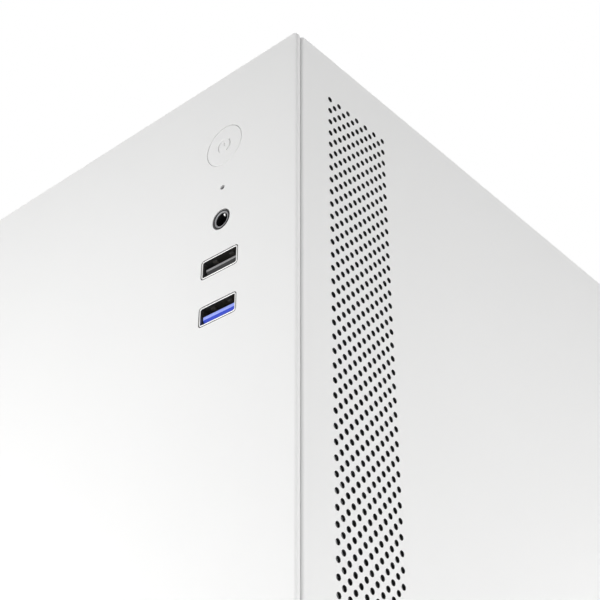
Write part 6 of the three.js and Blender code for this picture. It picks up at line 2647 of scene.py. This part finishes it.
# ---------------------------------------------------------------- feet, filter, screws
@dataclass(frozen=True)
class Underside:
    """The rubber feet and the sliding dust filter."""

    site: Site
    bar: float = 4.0

    def build(self) -> None:
        """Makes the four feet and the filter."""
        for end in ("front", "rear"):
            for side in ("left", "right"):
                self._foot(f"foot_{end}_{side}")
        self._filter()

    def _foot(self, node: str) -> None:
        """A foot with a groove round it and a hollow for its screw."""
        low, high = self.site.box(node)
        centre = ((low.x + high.x) / 2, (low.y + high.y) / 2)
        r, top = (high.x - low.x) / 2, high.z
        profile = [
            (0, 4.5), (3.4, 4.5), (3.4, 0.4), (3.8, 0.0), (r - 3.4, 0.0), (r - 2.4, 0.35), (r - 1.7, 1.2)
        ]
        profile += [(r - 0.6, top - 4.4), (r - 1.1, top - 4.0), (r - 1.1, top - 3.4), (r - 0.5, top - 3.0)]
        profile += [(r, top - 2.4), (r, top - 0.5), (r - 0.5, top), (0, top)]
        form = Form(RUBBER).turned(profile, Axis.Z, centre, 64)
        form.use(NICKEL).rod(Axis.Z, centre, (3.4, 4.7), 2.9, 0.3, 24)
        form.place(f"{node}_rubber", "case", "rubber", self.site, [node])

    def _filter(self) -> None:
        """The filter's ribbed frame with its mesh and its grip."""
        low, high = self.site.box("dust_filter")
        rear = high.y - 5.0
        across, along = (high.x - low.x - 4 * self.bar) / 3, (rear - low.y - 5 * self.bar) / 4
        windows = []
        for column in range(3):
            for row in range(4):
                x = low.x + self.bar + column * (across + self.bar)
                y = low.y + self.bar + row * (along + self.bar)
                windows.append(Slab((x, x + across), (y, y + along), 2.0, 5))
        form = Form(BLACK_PLASTIC).plate(
            Slab((low.x, high.x), (low.y, rear), 2.5, 5), Axis.Z, (low.z, high.z), windows, (0.4, 0.4)
        )
        form.plate(Slab((-14, 14), (rear - 1, high.y), 2.0, 5), Axis.Z, (low.z, low.z + 2.0), edge=(0.3, 0.3))
        for k in range(5):
            form.box(
                (-10, 10), (high.y - 4.6 + k * 0.85, high.y - 4.2 + k * 0.85), (low.z + 1.9, low.z + 2.3)
            )
        form.use(MESH).box((low.x + 2, high.x - 2), (low.y + 2, rear - 2), (low.z + 1.4, low.z + 1.7))
        form.place("dust_filter_frame", "dust_filter", "black_plastic", self.site, ["dust_filter"])


@dataclass(frozen=True)
class Thumbscrew:
    """A captive thumbscrew with a knurled head and a cut thread."""

    site: Site
    side: str
    level: str
    teeth: int = 36
    knurl: float = 0.28
    head: float = 7.2
    pitch: float = 0.4

    def build(self) -> None:
        """Makes the screw."""
        node = f"thumbscrew_{self.side}_{self.level}"
        low, high = self.site.box(node)
        x, z = (low.x + high.x) / 2, (low.z + high.z) / 2
        radius, start = (high.x - low.x) / 2, high.y - self.head
        outline = []
        for k in range(self.teeth):
            for share, depth in ((0.0, self.knurl), (0.25, 0.0), (0.6, 0.0), (0.85, self.knurl)):
                angle = 2 * math.pi * (k + share) / self.teeth
                outline.append(
                    (x + (radius - depth) * math.cos(angle), z + (radius - depth) * math.sin(angle))
                )
        form = Form(WHITE_COAT)
        form.plate(Polygon(tuple(outline)), Axis.Y, (start + 1.6, high.y), edge=(0.25, 0.45), steps=3)
        collar = [
            (0, start), (radius - 1.2, start), (radius - 0.9, start + 0.3), (radius - 0.9, start + 1.7),
            (0, start + 1.7)
        ]
        form.turned(collar, Axis.Y, (x, z), 40)
        form.use(NICKEL)
        thread = [(0, low.y), (1.0, low.y)]
        steps = int((start - low.y - 0.6) / self.pitch)
        thread += [(1.6 if k % 2 else 1.22, low.y + self.pitch + self.pitch * k) for k in range(steps)]
        form.turned([*thread, (1.3, start + 0.1), (0, start + 0.1)], Axis.Y, (x, z), 24)
        form.place(f"{node}_knurled", f"{self.side}_side_panel", "white_steel", self.site, [node])


# ---------------------------------------------------------------- cables
@dataclass(frozen=True)
class Cables:
    """The three internal cables, each clipped along its route between two sockets."""

    site: Site

    def build(self) -> None:
        """Makes each bundle with its plug."""
        board_low, board_high = self.site.box("motherboard")
        cpu_low, cpu_high = self.site.box("cpu")
        tray_high = self.site.box("motherboard_tray")[1]
        psu_low, psu_high = self.site.box("psu_case")
        shroud = self.site.box("psu_shroud")[1].z - 0.8
        face, front, top = board_high.x - 1.6, board_low.y, board_high.z
        cpu_y, cpu_z = (cpu_low.y + cpu_high.y) / 2, (cpu_low.z + cpu_high.z) / 2
        tray, psu = tray_high.x - 0.8, psu_low.y
        back, grommet, power = tray + 7, front - 17, cpu_z - 60
        exit_x, exit_z = 52.0, psu_high.z - 24
        main, thin, inside = exit_z + 3, exit_z - 6, psu + 4
        main_route = [
            (exit_x, inside, main), (exit_x, psu - 3, main), (
                exit_x + 3, psu - 14, main
            ), (66, psu - 28, main + 2),
            (back - 1, psu - 46, main + 9), (back, psu - 66, shroud + 24), (back, grommet + 44, power - 60),
            (back, grommet + 14, power - 20), (back - 1, grommet + 2, power - 4), (tray, grommet - 2, power),
            (face - 1, grommet - 2, power), (face - 6.5, grommet + 4, power), (face - 6.5, front - 3, power),
            (face - 6.5, front + 1.7, power),
        ]
        notch, rise = cpu_y + 24, top + 5.5
        processor_route = [
            (exit_x + 1, inside, thin), (exit_x + 1, psu - 3, thin), (
                exit_x + 5, psu - 13, thin
            ), (71, psu - 22, thin),
            (back, psu - 20, thin + 12), (back + 1, psu - 6, shroud + 8), (back + 1, psu + 2, shroud + 50),
            (
                back + 1, psu + 12, shroud + 106
            ), (back + 1, cpu_y + 6, cpu_z - 30), (back + 1, notch + 28, cpu_z + 10),
            (back + 1, notch + 30, cpu_z + 44), (back, notch + 10, top - 12), (back - 1, notch, rise - 4),
            (tray, notch, rise), (face - 4, notch, rise), (face - 9, notch, top + 2), (
                face - 9, notch, top - 2.7
            ),
        ]
        io_low, io_high = self.site.box("front_io_board")
        x, plug = (io_low.x + io_high.x) / 2, io_low.z + 7.5
        header_z, header_y = board_low.z + 6.5, front + 50
        front_route = [
            (x + 5, io_high.y + 0.3, plug), (x + 5, io_high.y + 3, plug), (x + 6, io_high.y + 8, plug + 5),
            (75, 37.2, plug + 22), (77, 47.2, plug + 30), (back, 58, plug + 20), (back + 1, 68, plug - 40),
            (back + 1, 70, 190), (back, 78, 158), (
                back - 1, grommet, shroud + 45
            ), (tray, grommet + 1, shroud + 42),
            (face - 3, grommet + 4, shroud + 36), (face - 14, grommet + 20, shroud + 27),
            (
                face - 18, header_y - 16, header_z + 2
            ), (face - 17, header_y - 4, header_z), (face - 13, header_y, header_z),
            (face - 9.3, header_y, header_z),
        ]
        plugs = {
            "atx_power_cable": (
                (face - 12, face - 1), (front - 4, front + 1.8), (cpu_z - 84.5, cpu_z - 33.5)
            ),
            "cpu_power_cable": ((face - 12.8, face - 1), (cpu_y + 14.3, cpu_y + 32.7), (top - 2.8, top + 3)),
            "front_panel_cable": (
                (face - 15, face - 9.2), (header_y - 9, header_y + 9), (header_z - 3.2, header_z + 3.2)
            ),
        }
        self._bundle("atx_power_cable", main_route, 12, 3.75, 1.15, plugs)
        self._bundle("cpu_power_cable", processor_route, 4, 1.35, 1.05, plugs)
        self._bundle("front_panel_cable", front_route, 1, 0.0, 2.4, plugs)

    def _bundle(
        self,
        node: str,
        route: Sequence[Spot],
        wires: int,
        ring: float,
        radius: float,
        plugs: dict[str, tuple[Span, Span, Span]],
    ) -> None:
        """A bundle of wires that follows a route with a slow twist, tied every so often, with its plug.

        Args:
            node: The CAD node it stands for.
            route: The points of its middle.
            wires: How many wires lie round the middle.
            ring: How far from the middle they lie.
            radius: A wire's radius.
            plugs: Where each cable's plug is.
        """
        path = smooth_path(route, 3.2)
        stations = list(frames(path))
        form = Form(CABLE)
        inner = 4 if wires > 8 else 0
        for count, reach in ((wires, ring), (inner, ring * 0.4)):
            for k in range(count):
                line = []
                for i, (at, side, up) in enumerate(stations):
                    angle = 2 * math.pi * k / count + i * 0.035
                    line.append(at + (side * math.cos(angle) + up * math.sin(angle)) * reach)
                form.tube(line, radius, 8 if wires > 1 else 20)
        form.use(BLACK_PLASTIC)
        if wires > 1:
            for i in range(10, len(stations) - 8, 16):
                at, side, up = stations[i]
                loop = [
                    at + (side * math.cos(a) + up * math.sin(a)) * (ring + radius + 0.05)
                    for a in (2 * math.pi * j / 24 for j in range(24))
                ]
                form.tube(loop, 0.55, 6, closed=True)
        form.box(*plugs[node])
        form.place(f"{node}_bundle", "case", "cable_sleeve", self.site, [node])


# ---------------------------------------------------------------- assembly
CARRIED = {
    "white_steel": WHITE_COAT,
    "white_front": WHITE_FRONT,
    "white_button": WHITE_CAP,
    "zinc_steel": ZINC,
    "bright_steel": PLATED,
    "aluminium": ALUMINIUM,
    "cast_aluminium": CAST,
    "black_paint": BLACK_COAT,
    "black_plastic": BLACK_PLASTIC,
    "grey_plastic": GREY_PLASTIC,
    "blue_plastic": BLUE_PLASTIC,
    "circuit_board": BOARD,
    "memory_board": GREEN_BOARD,
    "smoked_plastic": SMOKED,
    "rubber": RUBBER,
    "cable_sleeve": CABLE,
}


def dress_carried(frame: dict[str, object]) -> None:
    """Gives every CAD node that still shows the finish of its slot.

    Args:
        frame: The loaded frame.
    """
    slots = {part["node"]: part["material_slot"] for part in frame["record"]["subparts"]}
    for name, node in frame["nodes"].items():
        if node.hide_render:
            continue
        finish = CARRIED[slots[name]]
        node.data.materials.clear()
        node.data.materials.append(finish.material())
        soften(node, 0.12, 38, 2)
        log.info("%s carried over", name)


def main() -> None:
    """Builds the tower around its frame."""
    logging.basicConfig(level=logging.INFO, format="%(message)s")
    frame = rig.load()
    cad_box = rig.bounds()
    site = Site(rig.box("front_panel")[0].y)
    Studio().build()
    for part in (
        FrontPanel(site),
        FrontSockets(site),
        SidePanel(site, "right"),
        SidePanel(site, "left"),
        Fan(site, "front_fan", Axis.Y),
        Fan(site, "rear_fan", Axis.Y),
        Fan(site, "cpu_fan", Axis.X),
        Fan(site, "psu_fan", Axis.Z, 7),
        WireGuard(site, "rear_fan", Axis.Y, (12.0, 20.0, 28.0, 36.0), 55.0),
        WireGuard(site, "psu_fan", Axis.Z, (14.0, 24.0, 34.0, 44.0), 52.0),
        Motherboard(site),
        MemoryModule(site, 1),
        MemoryModule(site, 2),
        RearSockets(site),
        RearSheet(site),
        PowerSupply(site),
        Drives(site),
        Underside(site),
        *(Thumbscrew(site, side, level) for side in ("left", "right") for level in ("lower", "upper")),
        Cables(site),
    ):
        part.build()
    dress_carried(frame)
    with open("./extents.json", "w") as out:
        json.dump({"cad": [list(c) for c in cad_box], "visual": [list(c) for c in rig.bounds()]}, out)


if __name__ == "__main__":
    main()
